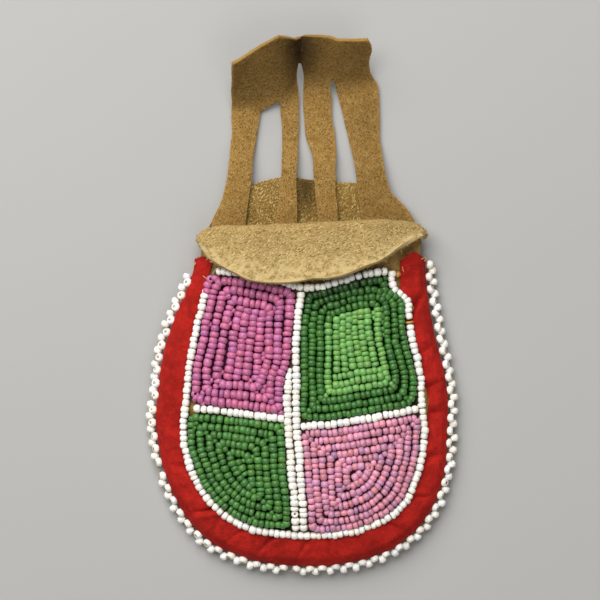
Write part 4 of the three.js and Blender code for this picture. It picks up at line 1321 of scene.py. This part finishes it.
class PUZZLE_OT_strap_hide(BagOperator):
    """Lays the strap piece: four straps that end in one standing band"""

    bl_idname = "puzzle.strap_hide"
    bl_label = "Strap hide"

    STRAP_COLUMNS = 10
    SLIT_COLUMNS = 5
    STRAP_ROWS = 66
    BAND_ROWS = 26
    # Numbers of points on the edge of a strap and on that of the band
    STRAP_POINTS = 120
    BAND_POINTS = 60
    # Share of the straps' length that is sewn in the mouth, where the slits haven't started
    SEWN_SHARE = 0.08
    ROUNDING = 0.22 * MM
    STRAY = 0.25 * MM
    # Room under the straps on the back tongue and on the floor
    HIDE_EASE = 0.2 * MM
    FLOOR_EASE = 0.1 * MM
    # Rounding of a slit's upper end and bow of a strap across its width
    SLIT_ROUND = 0.6 * MM
    STRAP_BOW = 0.25 * MM
    # Most painted shade and stain on the band
    MOST_STAIN = 1.05

    def build(self):
        colours = self.colours
        columns = 4 * self.STRAP_COLUMNS + 3 * self.SLIT_COLUMNS
        rows = self.STRAP_ROWS + self.BAND_ROWS
        piece, across, up = add_grid("strap_hide", columns, rows)
        widths = [self.STRAP_COLUMNS, self.SLIT_COLUMNS] * 3 + [self.STRAP_COLUMNS]
        edge_at = np.interp(across * columns, np.concatenate([[0], np.cumsum(widths)]), np.arange(8))
        strap = np.clip(up * rows / self.STRAP_ROWS, 0, 1)
        band = np.clip((up * rows - self.STRAP_ROWS) / self.BAND_ROWS, 0, 1)
        x, y = self.places(edge_at, strap, band)
        points = joined(x, y, self.heights(x, y, edge_at, band))
        points[:, :2] += self.STRAY * two_ripples(points, 5 * MM, (11, 12))
        edge = self.cut_edges(edge_at, band)
        stain = self.soiling(x, y)
        nap = 0.5 * edge + 0.02
        shape_sheet(piece, self.bag.in_frame(points), edge=edge, stain=stain, pale=0 * x, nap=nap)
        self.cut_slits(piece, edge_at, strap, band)
        thicken(piece, self.size.strap_hide, self.ROUNDING)
        finish = hide_finish("strap_hide", colours, colours.hide_edge)
        finish_piece(piece, finish, "strap_hide", "strap_piece")

    def places(self, edge_at, strap, band):
        """Places across and along of the grid's points, between the straps' edges."""
        left = np.clip(edge_at.astype(int), 0, len(STRAP_EDGES) - 2)
        share = edge_at - left
        x = np.zeros_like(edge_at)
        y = np.zeros_like(edge_at)
        for k, (strap_edge, band_edge) in enumerate(zip(STRAP_EDGES, BAND_EDGES)):
            weight = np.where(left == k, 1 - share, 0) + np.where(left + 1 == k, share, 0)
            on_strap = self.part_way(strap_edge, strap, self.STRAP_POINTS)
            on_band = self.part_way((strap_edge[-1], *band_edge, BAND_TOP[k]), band, self.BAND_POINTS)
            x += weight * np.where(band > 0, on_band[0], on_strap[0])
            y += weight * np.where(band > 0, on_band[1], on_strap[1])
        in_slit = (left % 2 == 1) & (strap >= 1)
        arch = (1 - (2 * share - 1) ** 2) * np.exp(-((6 * band) ** 2))
        return x, y + np.where(in_slit, self.SLIT_ROUND * arch, 0)

    def part_way(self, places, share, count):
        """Places across and along at a share of a smooth line through chosen points."""
        line = resample(rounded_line(places), count) * MM
        return [np.interp(share, np.linspace(0, 1, count), axis) for axis in line.T]

    def heights(self, x, y, edge_at, band):
        """Height of the strap piece: on the back hide, down past its tongue, and up along the band."""
        size = self.size
        on_hide = self.bag.back_middle(x, y) + size.hide / 2 + size.rest_gap
        on_hide = on_hide + size.strap_hide / 2 + self.HIDE_EASE
        on_floor = size.strap_hide / 2 + self.FLOOR_EASE
        past = smooth((y - size.back_tongue - 2 * MM) / (9 * MM))
        # The band is drawn in near its middle and bends up more sharply on its left
        pinch = 1.1 - 0.4 * np.exp(-np.abs(x + 3 * MM) / (2.5 * MM))
        bend = 0.12 + 0.4 * smooth((x + 10 * MM) / (8 * MM))
        foot, top = (np.interp(x / MM, *zip(*line)) * MM for line in (BAND_FOOT, BAND_TOP))
        up = np.clip((y - foot) / (top - foot), 0, 1.1)
        rise = (np.hypot(up, bend) - bend) / (np.hypot(1, bend) - bend)
        middle = 1 - (np.abs(edge_at % 2 - 0.5) * 2) ** 2
        bow = self.STRAP_BOW * middle.clip(0) * (edge_at % 2 <= 1)
        return on_hide + (on_floor - on_hide) * past + size.band_lift * pinch * rise + bow * (1 - band)

    def cut_edges(self, edge_at, band):
        """How far each point lies on a cut edge: the straps' sides, the outer sides and the band's top."""
        side = np.abs(edge_at % 2 - 0.5) * 2
        on_strap = (side > 0.97) & (edge_at % 2 <= 1) & (band <= 0)
        outer = (edge_at < 0.05) | (edge_at > 6.95)
        return np.where(band > 0.97, 1.0, np.where(on_strap | outer, 0.8, 0.0))

    def soiling(self, x, y):
        """How darkened each point is: painted shade over the band, deepest in its middle where a stain and
        the painted shadow of the pin lie, and a little painted shade at the foot of the right strap.
        """
        start = 28.5 * MM + 4.5 * MM * smooth((x + 8 * MM) / (6 * MM))
        # Painted shade over the band, which stands turned from the light, with a spot that is partly stain
        # and partly painted shadow of the pin
        stain = 0.42 - 0.1 * smooth(x / (6 * MM)) + 0.66 * spot(x, y, *BAND_STAIN_AND_SHADOW)
        stain = np.minimum(stain, self.MOST_STAIN) * smooth((y - start) / (7 * MM))
        # Painted shade at the foot of the right strap, away from the light
        return stain + 0.2 * smooth((x - 8 * MM) / (5 * MM)) * smooth((36 * MM - y) / (6 * MM))

    def cut_slits(self, piece, edge_at, strap, band):
        """Deletes the cells of the three slits."""
        pick_only(piece)
        bpy.ops.object.mode_set(mode="EDIT")
        bpy.ops.mesh.select_mode(type="FACE")
        bpy.ops.mesh.select_all(action="DESELECT")
        bpy.ops.object.mode_set(mode="OBJECT")
        for polygon in piece.data.polygons:
            corners = list(polygon.vertices)
            slit = edge_at[corners].mean() % 2 > 1
            above_base = strap[corners].mean() > self.SEWN_SHARE
            polygon.select = bool(slit and above_base and band[corners].max() <= 0)
        bpy.ops.object.mode_set(mode="EDIT")
        bpy.ops.mesh.delete(type="FACE")
        bpy.ops.object.mode_set(mode="OBJECT")


class PUZZLE_OT_red_binding(BagOperator):
    """Wraps the red cloth binding round the seam, with its puckers"""

    bl_idname = "puzzle.red_binding"
    bl_label = "Red binding"

    STATIONS = 520
    SECTION = 28
    ROUNDING = 0.15 * MM
    END_DROPS = (9.6 * MM, 9.6 * MM)
    END_RUN = 3 * MM
    # How far the fold stands out where nothing draws it in
    FOLD_OUT = 0.6 * MM
    # How far the cloth reaches under the beads, and the share of the bare strip that it gives up
    TUCK_UNDER = 0.25 * MM
    GIVEN_UP = 0.5
    # Lumps and gathers on the face, and wobble of the cloth's edges
    LUMPS = 0.25 * MM
    GATHERS = 0.22 * MM
    WOBBLE = 0.3 * MM
    # Where the points of the section on the face lie, from its edge to the fold
    FACE_SHARES = (1, 0.78, 0.5, 0.22)
    # How nearly those after the first are as high as it, and how far they puff up in mm
    FACE_LEVELS = ((0.9, 0.12), (0.85, 0.12), (0.7, 0.0))
    # How round the section is at its points, from straight (0) to smooth (1)
    SECTION_EASE = 0.35
    # Tufts at the left and right ends, and how uneven they are
    TUFTS = {-1: 1.0, 1: 2.4}
    TUFT_SPREAD = 0.4
    # Share of the run at each end that is frayed
    FRAYED = 0.003
    # Slant of a pucker, and the height, distance and width of the ridge beside it
    SLANT = 5 * MM
    RIDGE = (0.45, 2.0, 1.6)

    def build(self):
        bag = self.bag
        size = self.size
        piece, around, section = add_grid("red_cloth_binding", self.STATIONS, self.SECTION)
        line, out = bag.seam(self.STATIONS + 1, *self.END_DROPS)
        station = np.round(around * self.STATIONS).astype(int)
        point = line[station]
        outward = out[station]
        face = bag.inset_to(line, out, bag.binding_face)[station] + self.TUCK_UNDER
        face = face - self.GIVEN_UP * bag.bare_strip(*point.T)
        inset, z = self.section_at(section, face, bag.tuck(*point.T))
        run = run_along(line)[station]
        on_face = np.clip(1 - section / 0.5, 0, 1)
        z = z + self.creases(line, run, on_face)
        flat = np.column_stack([point - outward * inset[:, None], z])
        flat[:, 2] += self.LUMPS * ripple(flat, 4 * MM, 21) * smooth(on_face * 4)
        gathers = joined(run / 2.2, on_face * 1.2 * MM, np.zeros_like(run))
        flat[:, 2] += self.GATHERS * ripple(gathers, MM, 23) * smooth(on_face * 4)
        flat[:, :2] += outward * (self.WOBBLE * ripple(flat, 6 * MM, 22))[:, None]
        ahead = joined(-outward[:, 1], outward[:, 0])
        frays = joined(on_face, 0 * run, 0 * run)
        for way, left in ((-1, run), (1, run.max() - run)):
            peak = (1 - np.abs(2 * on_face - 0.9)) * self.TUFTS[way]
            tuft = peak + self.TUFT_SPREAD * ripple(frays, 0.16, 24 + way)
            flat[:, :2] += way * ahead * (MM * tuft * (1 - smooth(left / self.END_RUN)))[:, None]
        flat[:, 2] = np.maximum(flat[:, 2], size.cloth / 2)
        fray = np.where(np.abs(around - 0.5) > 0.5 - self.FRAYED, on_face > 0, 0)
        shape_sheet(piece, bag.in_frame(flat), nap=fray)
        thicken(piece, size.cloth, self.ROUNDING)
        finish_piece(piece, cloth_finish(self.colours), "red_cloth", "red_binding")

    def section_at(self, share, face, tuck):
        """Inset and height of the cloth from its edge on the face round the fold to its edge on the back."""
        bag = self.bag
        size = self.size
        wall = size.cloth / 2
        room = size.hide / 2 + size.rest_gap + wall
        corner = bag.front_rim + room
        insets = [part * face for part in self.FACE_SHARES]
        heights = [bag.above_front(inset, room) for inset in insets]
        for k, (level, puff) in enumerate(self.FACE_LEVELS, 1):
            heights[k] = heights[k] + level * (heights[0] - heights[k]) + puff * MM
        fold = wall - self.FOLD_OUT * (1 - tuck)
        turned = (
            (fold, corner - 0.5 * MM), (fold, corner / 2), (fold, 3 * wall), (3 * wall, wall),
            (size.binding_back, wall),
        )
        insets += [np.full_like(share, inset) for inset, _ in turned]
        heights += [np.full_like(share, height) for _, height in turned]
        at = share * (len(insets) - 1)
        k = np.clip(at.astype(int), 0, len(insets) - 2)
        blend_share = smooth(at - k) * self.SECTION_EASE + (at - k) * (1 - self.SECTION_EASE)
        rows = np.arange(len(share))
        ends = np.array([insets, heights])
        return ends[:, k, rows] * (1 - blend_share) + ends[:, k + 1, rows] * blend_share

    def creases(self, line, run, on_face):
        """Sunk puckers that slant across the face of the cloth, each with a low ridge beside it."""
        runs = run_along(line)
        depth = np.zeros_like(run)
        ridge, off_by, wide = self.RIDGE
        for place, sink, width, slant in PUCKERS:
            nearest = np.linalg.norm(line - np.array(place) * MM, axis=1).argmin()
            off = run - runs[nearest] - slant * self.SLANT * (on_face - 0.5)
            off = off / (width * (0.7 + on_face) * MM)
            swell = np.exp(-(off**2)) - ridge * np.exp(-(((off - off_by) / wide) ** 2))
            depth += sink * MM * smooth(on_face * 1.3) * swell
        return -depth


class PUZZLE_OT_white_rows(BagOperator):
    """Sews the white rows that frame and quarter the face"""

    bl_idname = "puzzle.white_rows"
    bl_label = "White rows"

    SEED = 40
    # Spread of the white tints and drift of the rows in mm
    SPREAD = 0.05
    SHAKE = 0.25
    # Numbers of points on the outline, on the left row down the middle and on the other rows
    OUTLINE_POINTS = 160
    LEFT_POINTS = 60
    ROW_POINTS = 40
    # How far the left row down the middle starts above the split
    LEFT_START = 4.6 * MM
    # How far the top row's ends and the left cross row's end stop short of the outline row
    TOP_SHORT = (0.8 * MM, 0.1 * MM)
    CROSS_SHORT = 1.1 * MM

    def build(self):
        bag = self.bag
        colours = self.colours
        finish = glass_finish("white_glass")
        for seed, (node, line) in enumerate(self.lines().items(), self.SEED):
            beads = Beads(bag, seed)
            width_at = bag.lane_room if node == "white_lane_row_left" else None
            beads.sew(line, False, colours.white_glass, self.SPREAD, self.SHAKE, width_at)
            if node == "white_outline_row":
                place, way, run, width = AMBER_CORNER
                beads.lay(np.array(place) * MM, way, run * MM, colours.amber_glass, self.SPREAD, width * MM)
            beads.make_odd(colours.amber_glass)
            finish_piece(beads.piece(node.replace("row", "beads")), finish, "white_beads", node)

    def lines(self):
        """The line of each white row, by the solid that it stands for."""
        bag = self.bag
        bead = bag.bead
        size = self.size
        room = bag.row_room
        line, out = bag.seam(self.OUTLINE_POINTS, bead.outline_left_drop, bead.outline_right_drop)
        outline = line - out * bag.inset_to(line, out, bag.row_inset)[:, None]
        head = bag.top_row_y(bead.lane_x) - room
        foot = -size.body_length + size.binding_face_bottom + 2 * room + bead.width / 2
        right_lane = np.linspace(head, foot, self.ROW_POINTS)
        left_lane = np.linspace(-bead.lane_split_drop + self.LEFT_START, foot, self.LEFT_POINTS)
        top_left = outline[0, 0] + room + self.TOP_SHORT[0]
        top_right = outline[-1, 0] - room - self.TOP_SHORT[1]
        top = np.linspace(top_left, top_right, self.ROW_POINTS)
        left_inner = bag.left_lane_x(bag.cross_left_y(bead.lane_x)) - room
        right_inner = bag.lane_x(bag.cross_right_y(bead.lane_x)) + room
        left_outer = self.row_end(-1, bag.cross_left_y) + self.CROSS_SHORT
        cross_left = np.linspace(left_outer, left_inner, self.ROW_POINTS)
        cross_right = np.linspace(right_inner, self.row_end(1, bag.cross_right_y), self.ROW_POINTS)
        return {
            "white_outline_row": outline,
            "white_top_row": joined(top, bag.top_row_y(top)),
            "white_lane_row_right": joined(bag.lane_x(right_lane), right_lane),
            "white_lane_row_left": joined(bag.left_row_x(left_lane), left_lane),
            "white_cross_row_left": joined(cross_left, bag.cross_left_y(cross_left)),
            "white_cross_row_right": joined(cross_right, bag.cross_right_y(cross_right)),
        }

    def row_end(self, side, y_at):
        """Where a row across the face meets the outline row."""
        x = side * np.arange(0.1 * self.size.body_width, 0.5 * self.size.body_width, 0.1 * MM)
        return x[self.bag.inside_outline(x, y_at(x)) > 0][-1]


class PUZZLE_OT_bead_fields(BagOperator):
    """Sews the five fields of coloured beads, in rounds and in columns inside them"""

    bl_idname = "puzzle.bead_fields"
    bl_label = "Bead fields"

    SEED = 60
    # Width of a bead as a share of its row, so that rows touch
    ROW_FILL = 1.05
    # How many rows below the white top row the inner beads are of the darker green
    DARK_TOP_ROWS = DARK_ROUNDS + 1.05
    # Way of the beads in the magenta corner and the spread of their tint
    CORNER_WAY = (0.4, 1.0)
    CORNER_SPREAD = 0.02

    def build(self):
        bag = self.bag
        colours = self.colours
        half = self.size.body_width / 2
        foot = -self.size.body_length
        for seed, (name, field) in enumerate(FIELDS.items(), self.SEED):
            upper, left, first, last, spread = field
            shade = getattr(colours, f"{name}_glass")
            low, high = (-half, 0) if left else (0, half)
            pitch = bag.bead.wide_row_pitch if name == "magenta" else bag.bead.row_pitch
            rounds = Rounds(bag.quarter(upper, left), pitch, (low, foot), (high, 0))
            beads = Beads(bag, seed)
            beads.width = self.ROW_FILL * rounds.pitch
            beads.run *= (rounds.pitch / bag.bead.width) ** 0.5
            beads.shadow_at = self.shadow(*SHADOWS[name]) if name in SHADOWS else None
            if name == "light_green":
                beads.shade_at = self.darker_top(self.DARK_TOP_ROWS * rounds.pitch)
            inner = COLUMNS_FROM.get(name, (last, 0))
            lines = rounds.lines(first, min(last, inner[0]))
            if name in COLUMNS_FROM:
                lines += rounds.columns(*inner)
            for line, closed in lines:
                beads.sew(line, closed, shade, spread)
            for place in CORNER_BEADS if name == "magenta" else ():
                beads.lay(np.array(place) * MM, self.CORNER_WAY, beads.run, shade, self.CORNER_SPREAD)
            beads.fill(rounds.between(first, last), (low, foot), shade, spread)
            beads.make_odd(colours.amber_glass)
            piece = beads.piece(f"{name}_beads")
            finish_piece(piece, glass_finish(f"{name}_glass"), f"{name}_beads", f"{name}_bead_field")

    def darker_top(self, reach):
        """A function that gives the darker green to the beads near the white top row."""
        bag = self.bag
        dark = self.colours.dark_green_glass

        def shade_at(x, y, shade):
            return dark if bag.top_row_y(x) - bag.row_room - y < reach else shade

        return shade_at

    def shadow(self, depth, reach):
        """A function that gives how light a bead is near the tongue that hangs over it."""

        def light_at(x, y):
            below = height_along(TONGUE_REACH, x) - y
            return 1 - depth * (1 - smooth(below / (reach * MM)))

        return light_at


class PUZZLE_OT_edge_beads(BagOperator):
    """Sews the white edge beading, two beads to a stitch, with its thread"""

    bl_idname = "puzzle.edge_beads"
    bl_label = "Edge beads"

    UP = np.array([0.0, 0.0, 1.0])
    SEED = 80
    SEAM_STEPS = 400
    SPREAD = 0.05
    # How far the beads stray along the edge and in height, and outwards
    STRAY = 0.12 * MM
    OUT_STRAY = 0.1 * MM
    # How far they stand off, and are drawn in and lifted where the cloth is tucked
    OFF = 0.6
    DRAWN_IN = 0.9
    LIFTED = 0.6 * MM
    # How much higher and further out inner beads stand, and how far down the side their holes show
    INNER_UP = 0.75 * MM
    INNER_OUT = 0.2 * MM
    SHOWN_DROP = 62 * MM
    SHOWN_RUN = 14 * MM
    # Widths and lengths as shares of a bead's, for inner and for outer beads
    INNER_SIZES = ((1.05, 1.15), (1.15, 1.32))
    OUTER_SIZES = ((1.0, 1.12), (1.25, 1.45))
    # Reach in mm of a place that has lost its bead
    BARE_REACH = 1.7
    # Numbers of thread points to a bead and on a loose thread, and the room under a loose thread
    THREAD_STEPS = 8
    LOOSE_POINTS = 16
    LOOSE_LIFT = 0.5 * MM

    def build(self):
        bag = self.bag
        bead = bag.bead
        size = self.size
        line, out = bag.seam(self.SEAM_STEPS, size.seam_top_drop, size.seam_top_drop)
        runs = run_along(line)
        start = runs[line[:, 1] < -bead.edge_left_drop][0]
        whole = runs[line[:, 1] < -bead.edge_right_drop][-1] - start
        count = 2 * round(whole / bead.edge_stitch)
        height = (bag.front_rim + size.hide / 2 + size.rest_gap + size.cloth) / 2
        self.beads = Beads(bag, self.SEED, RING_PROFILE, RING_SIDES)
        self.thread = []
        self.stubs = []
        rng = self.beads.rng
        for k in range(count):
            run = start + (k + 0.5) / count * whole + rng.normal(0, self.STRAY)
            point = np.array([np.interp(run, runs, axis) for axis in line.T])
            way = np.array([np.interp(run, runs, axis) for axis in out.T])
            way = np.array([*way / np.linalg.norm(way), 0])
            ahead = np.array([-way[1], way[0], 0])
            base = np.array([*point, height + rng.normal(0, self.STRAY)])
            inner = k % 2 == 1
            out_by = (bead.edge_inner if inner else bead.edge_outer) + rng.normal(0, self.OUT_STRAY)
            tuck = bag.tuck(*point)
            off = MM * (self.OFF * spot(*point, *STAND_OFF) - self.DRAWN_IN * tuck)
            middle = base + way * out_by + way * off + self.UP * self.LIFTED * tuck
            tint = self.beads.tint(self.colours.white_glass, self.SPREAD)
            if inner:
                self.inner_bead(base, middle, way, ahead, tint)
            else:
                self.outer_bead(middle, way, ahead, tint)
        finish = glass_finish("edge_glass")
        finish_piece(self.beads.piece("edge_beads"), finish, "white_beads", "edge_bead_string")
        stitched = rounded_line(self.thread, self.THREAD_STEPS * len(self.thread))
        loose = [self.loose(places) for places in LOOSE_THREADS]
        tube = self.tubes("edge_thread", [stitched, *map(np.array, self.stubs), *loose])
        finish_piece(tube, thread_finish("edge_thread", self.colours.thread), None)

    def inner_bead(self, base, middle, way, ahead, tint):
        """Adds a bead that stands against the cloth, with its thread out over it and down into the cloth."""
        rng = self.beads.rng
        # The holes show from above on the upper left side
        shown = smooth((-way[0] - 0.5) / 0.4) * smooth((base[1] + self.SHOWN_DROP) / self.SHOWN_RUN)
        rise = 0.2 + shown + rng.normal(0, 0.15)
        hole = way + self.UP * rise + ahead * rng.normal(0, 0.2)
        middle = middle + self.UP * self.INNER_UP + way * self.INNER_OUT
        self.ring(middle, hole, np.cross(hole, ahead), self.INNER_SIZES, tint)
        self.thread.append(middle + way * 0.7 * MM + self.UP * 0.25 * MM)
        self.stubs.append((base - way * 0.45 * MM + self.UP * 1.5 * MM, middle - way * 0.2 * MM))

    def outer_bead(self, middle, way, ahead, tint):
        """Adds a bead that lies along the edge, unless it is lost there, and runs the thread through it."""
        rng = self.beads.rng
        self.thread.append(middle)
        if self.is_bare(middle):
            return
        hole = ahead + way * rng.normal(0, 0.2) + self.UP * rng.normal(0, 0.15)
        self.ring(middle, hole, self.UP, self.OUTER_SIZES, tint)

    def ring(self, middle, hole, up, sizes, tint):
        """Adds a bead whose width and length are drawn between limits."""
        bead = self.bag.bead
        width, run = (self.beads.rng.uniform(*limits) for limits in sizes)
        self.beads.add(middle, hole, up, bead.run * run, bead.width * width, tint)

    def is_bare(self, middle):
        """Whether an outer bead is missing at a place."""
        apart = [np.hypot(*(middle[:2] / MM - np.array(place))) for place in BARE_PLACES]
        return min(apart) < self.BARE_REACH

    def loose(self, places):
        """A loose thread that lies on the face."""
        bag = self.bag
        line = rounded_line(places, self.LOOSE_POINTS) * MM
        lift = bag.size.hide / 2 + bag.size.rest_gap + bag.size.cloth + self.LOOSE_LIFT
        return np.column_stack([line, bag.front(*line.T, lift)])

    def tubes(self, name, lines):
        """Threads along lines, made one mesh."""
        curve = bpy.data.curves.new(name, "CURVE")
        curve.dimensions = "3D"
        curve.bevel_depth = self.bag.bead.thread / 2
        curve.bevel_resolution = 1
        curve.use_fill_caps = True
        for line in lines:
            spline = curve.splines.new("POLY")
            placed = self.bag.in_frame(line)
            spline.points.add(len(placed) - 1)
            spline.points.foreach_set("co", np.column_stack([placed, np.ones(len(placed))]).ravel())
        piece = bpy.data.objects.new(name, curve)
        bpy.context.scene.collection.objects.link(piece)
        pick_only(piece)
        bpy.ops.object.convert(target="MESH")
        bpy.ops.object.shade_smooth()
        return bpy.context.object


class PUZZLE_OT_nap(BagOperator):
    """Raises short fibres on the hides' edges and folds and at the ends of the red cloth"""

    bl_idname = "puzzle.nap"
    bl_label = "Nap"

    SEED = 90
    THICKNESS = 0.09 * MM
    # Depth and stray of the fibres' roots, and the least slope that they grow on
    ROOT_DEPTH = 0.1 * MM
    ROOT_STRAY = 0.15 * MM
    LEAST_SLOPE = -0.3
    # Faces of a fibre's seven points
    PATTERN = ((2, 1, 0), (0, 1, 4, 3), (1, 2, 5, 4), (2, 0, 3, 5), (3, 4, 6), (4, 5, 6), (5, 3, 6))
    POINTS = 7

    def build(self):
        colours = self.colours
        crops = (
            ("front_hide", 3000, 1.1, colours.hide_nap),
            ("strap_hide", 700, 0.6, colours.hide_edge),
            ("back_hide", 200, 0.6, colours.hide_edge),
            ("red_cloth_binding", 120, 0.8, colours.red_cloth),
        )
        for seed, (name, count, reach, shade) in enumerate(crops, self.SEED):
            fibres = self.fibres(bpy.data.objects[name], count, reach * MM, np.random.default_rng(seed))
            finish_piece(fibres, thread_finish(fibres.name, shade), None)

    def fibres(self, piece, count, reach, rng):
        """Fibres that grow from the marked points of a piece."""
        mesh = piece.data
        points = points_of(mesh)
        normals = np.empty(3 * len(points))
        mesh.vertices.foreach_get("normal", normals)
        normals = normals.reshape(-1, 3)
        nap = np.empty(len(points))
        mesh.attributes["nap"].data.foreach_get("value", nap)
        nap = nap * (normals[:, 2] > self.LEAST_SLOPE)
        chosen = rng.choice(len(points), count, p=nap / nap.sum())
        normal = normals[chosen]
        root = points[chosen] - self.ROOT_DEPTH * normal + rng.normal(0, self.ROOT_STRAY, (count, 3))
        way = 0.6 * normal + rng.normal(0, 0.6, (count, 3))
        way /= np.linalg.norm(way, axis=1)[:, None]
        long = (reach * rng.uniform(0.4, 1.0, count))[:, None]
        middle = root + 0.55 * long * way
        tip = root + long * (way + rng.normal(0, 0.25, (count, 3)))
        side = np.cross(way, normal + rng.normal(0, 0.2, (count, 3)))
        side *= self.THICKNESS / 2 / np.linalg.norm(side, axis=1)[:, None]
        turned = np.cross(way, side)
        corners = [side, -0.5 * side + 0.87 * turned, -0.5 * side - 0.87 * turned]
        rings = [root + corner for corner in corners] + [middle + 0.7 * corner for corner in corners] + [tip]
        made = np.stack(rings, axis=1).reshape(-1, 3)
        made[:, 2] = np.maximum(made[:, 2], self.THICKNESS)
        faces = [[self.POINTS * k + corner for corner in face] for k in range(count) for face in self.PATTERN]
        return mesh_piece(f"{piece.name}_fibres", made, faces)


class PUZZLE_OT_stage(bpy.types.Operator):
    """Sets the pale floor, the soft light and the camera"""

    bl_idname = "puzzle.stage"
    bl_label = "Stage"

    FLOOR_SIZE = 4.0
    FLOOR_DROP = 0.05 * MM
    # Place and size of the main light and of the one from the foot of the bag, in metres
    KEY_LIGHT = ((-0.22, 0.42, 0.56), 0.75)
    FILL_LIGHT = ((0.25, -0.5, 0.6), 0.6)
    SKY_COLOUR = (1.0, 0.99, 0.97, 1.0)

    def execute(self, context):
        scene = context.scene
        stage = scene.bag_stage
        bpy.ops.object.select_all(action="DESELECT")
        bpy.ops.mesh.primitive_plane_add(size=self.FLOOR_SIZE, location=(0, 0, 0))
        floor = context.object
        floor.name = "floor"
        floor.data.materials.append(floor_finish(scene.bag_colours.floor))
        for vertex in floor.data.vertices:
            vertex.co.z = -self.FLOOR_DROP
        self.light(scene, "key", *self.KEY_LIGHT, stage.key_power)
        self.light(scene, "fill", *self.FILL_LIGHT, stage.fill_power)
        world = bpy.data.worlds.new("surroundings")
        world.use_nodes = True
        background = world.node_tree.nodes["Background"]
        background.inputs["Color"].default_value = self.SKY_COLOUR
        background.inputs["Strength"].default_value = stage.sky
        scene.world = world
        place = (stage.camera_x, stage.camera_y, stage.camera_height)
        bpy.ops.object.camera_add(location=place, rotation=(0, 0, 0))
        scene.camera = context.object
        scene.camera.data.lens = stage.lens
        scene.view_settings.view_transform = "Standard"
        return {"FINISHED"}

    def light(self, scene, name, place, size, power):
        """Adds a square soft light that faces the bag."""
        data = bpy.data.lights.new(name, "AREA")
        data.size = size
        data.energy = power
        lamp = bpy.data.objects.new(name, data)
        lamp.location = place
        lamp.rotation_euler = (-Vector(place)).to_track_quat("-Z", "Y").to_euler()
        scene.collection.objects.link(lamp)


class PUZZLE_PT_panel(bpy.types.Panel):
    """Lists the bag's pieces and settings"""

    bl_idname = "PUZZLE_PT_panel"
    bl_label = "Puzzle Bag"
    bl_space_type = "VIEW_3D"
    bl_region_type = "UI"
    bl_category = "Puzzle Bag"

    def draw(self, context):
        for operator in OPERATORS:
            self.layout.operator(operator.bl_idname)
        for name, group in SETTINGS.items():
            column = self.layout.column(align=True)
            for setting in group.__annotations__:
                column.prop(getattr(context.scene, name), setting)


SETTINGS = {
    "bag_sizes": HideSizes,
    "bag_beads": BeadSizes,
    "bag_colours": BagColours,
    "bag_stage": StageSettings,
}
OPERATORS = (
    PUZZLE_OT_stage,
    PUZZLE_OT_back_hide,
    PUZZLE_OT_front_hide,
    PUZZLE_OT_strap_hide,
    PUZZLE_OT_red_binding,
    PUZZLE_OT_white_rows,
    PUZZLE_OT_bead_fields,
    PUZZLE_OT_edge_beads,
    PUZZLE_OT_nap,
)
CLASSES = (*SETTINGS.values(), *OPERATORS, PUZZLE_PT_panel)


def register():
    for cls in CLASSES:
        bpy.utils.register_class(cls)
    for name, group in SETTINGS.items():
        setattr(bpy.types.Scene, name, bpy.props.PointerProperty(type=group))


def unregister():
    for name in SETTINGS:
        delattr(bpy.types.Scene, name)
    for cls in reversed(CLASSES):
        bpy.utils.unregister_class(cls)


def main():
    """Builds the whole bag."""
    register()
    bpy.ops.puzzle.stage()
    bpy.ops.puzzle.back_hide()
    bpy.ops.puzzle.front_hide()
    bpy.ops.puzzle.strap_hide()
    bpy.ops.puzzle.red_binding()
    bpy.ops.puzzle.white_rows()
    bpy.ops.puzzle.bead_fields()
    bpy.ops.puzzle.edge_beads()
    bpy.ops.puzzle.nap()


if __name__ == "__main__":
    main()
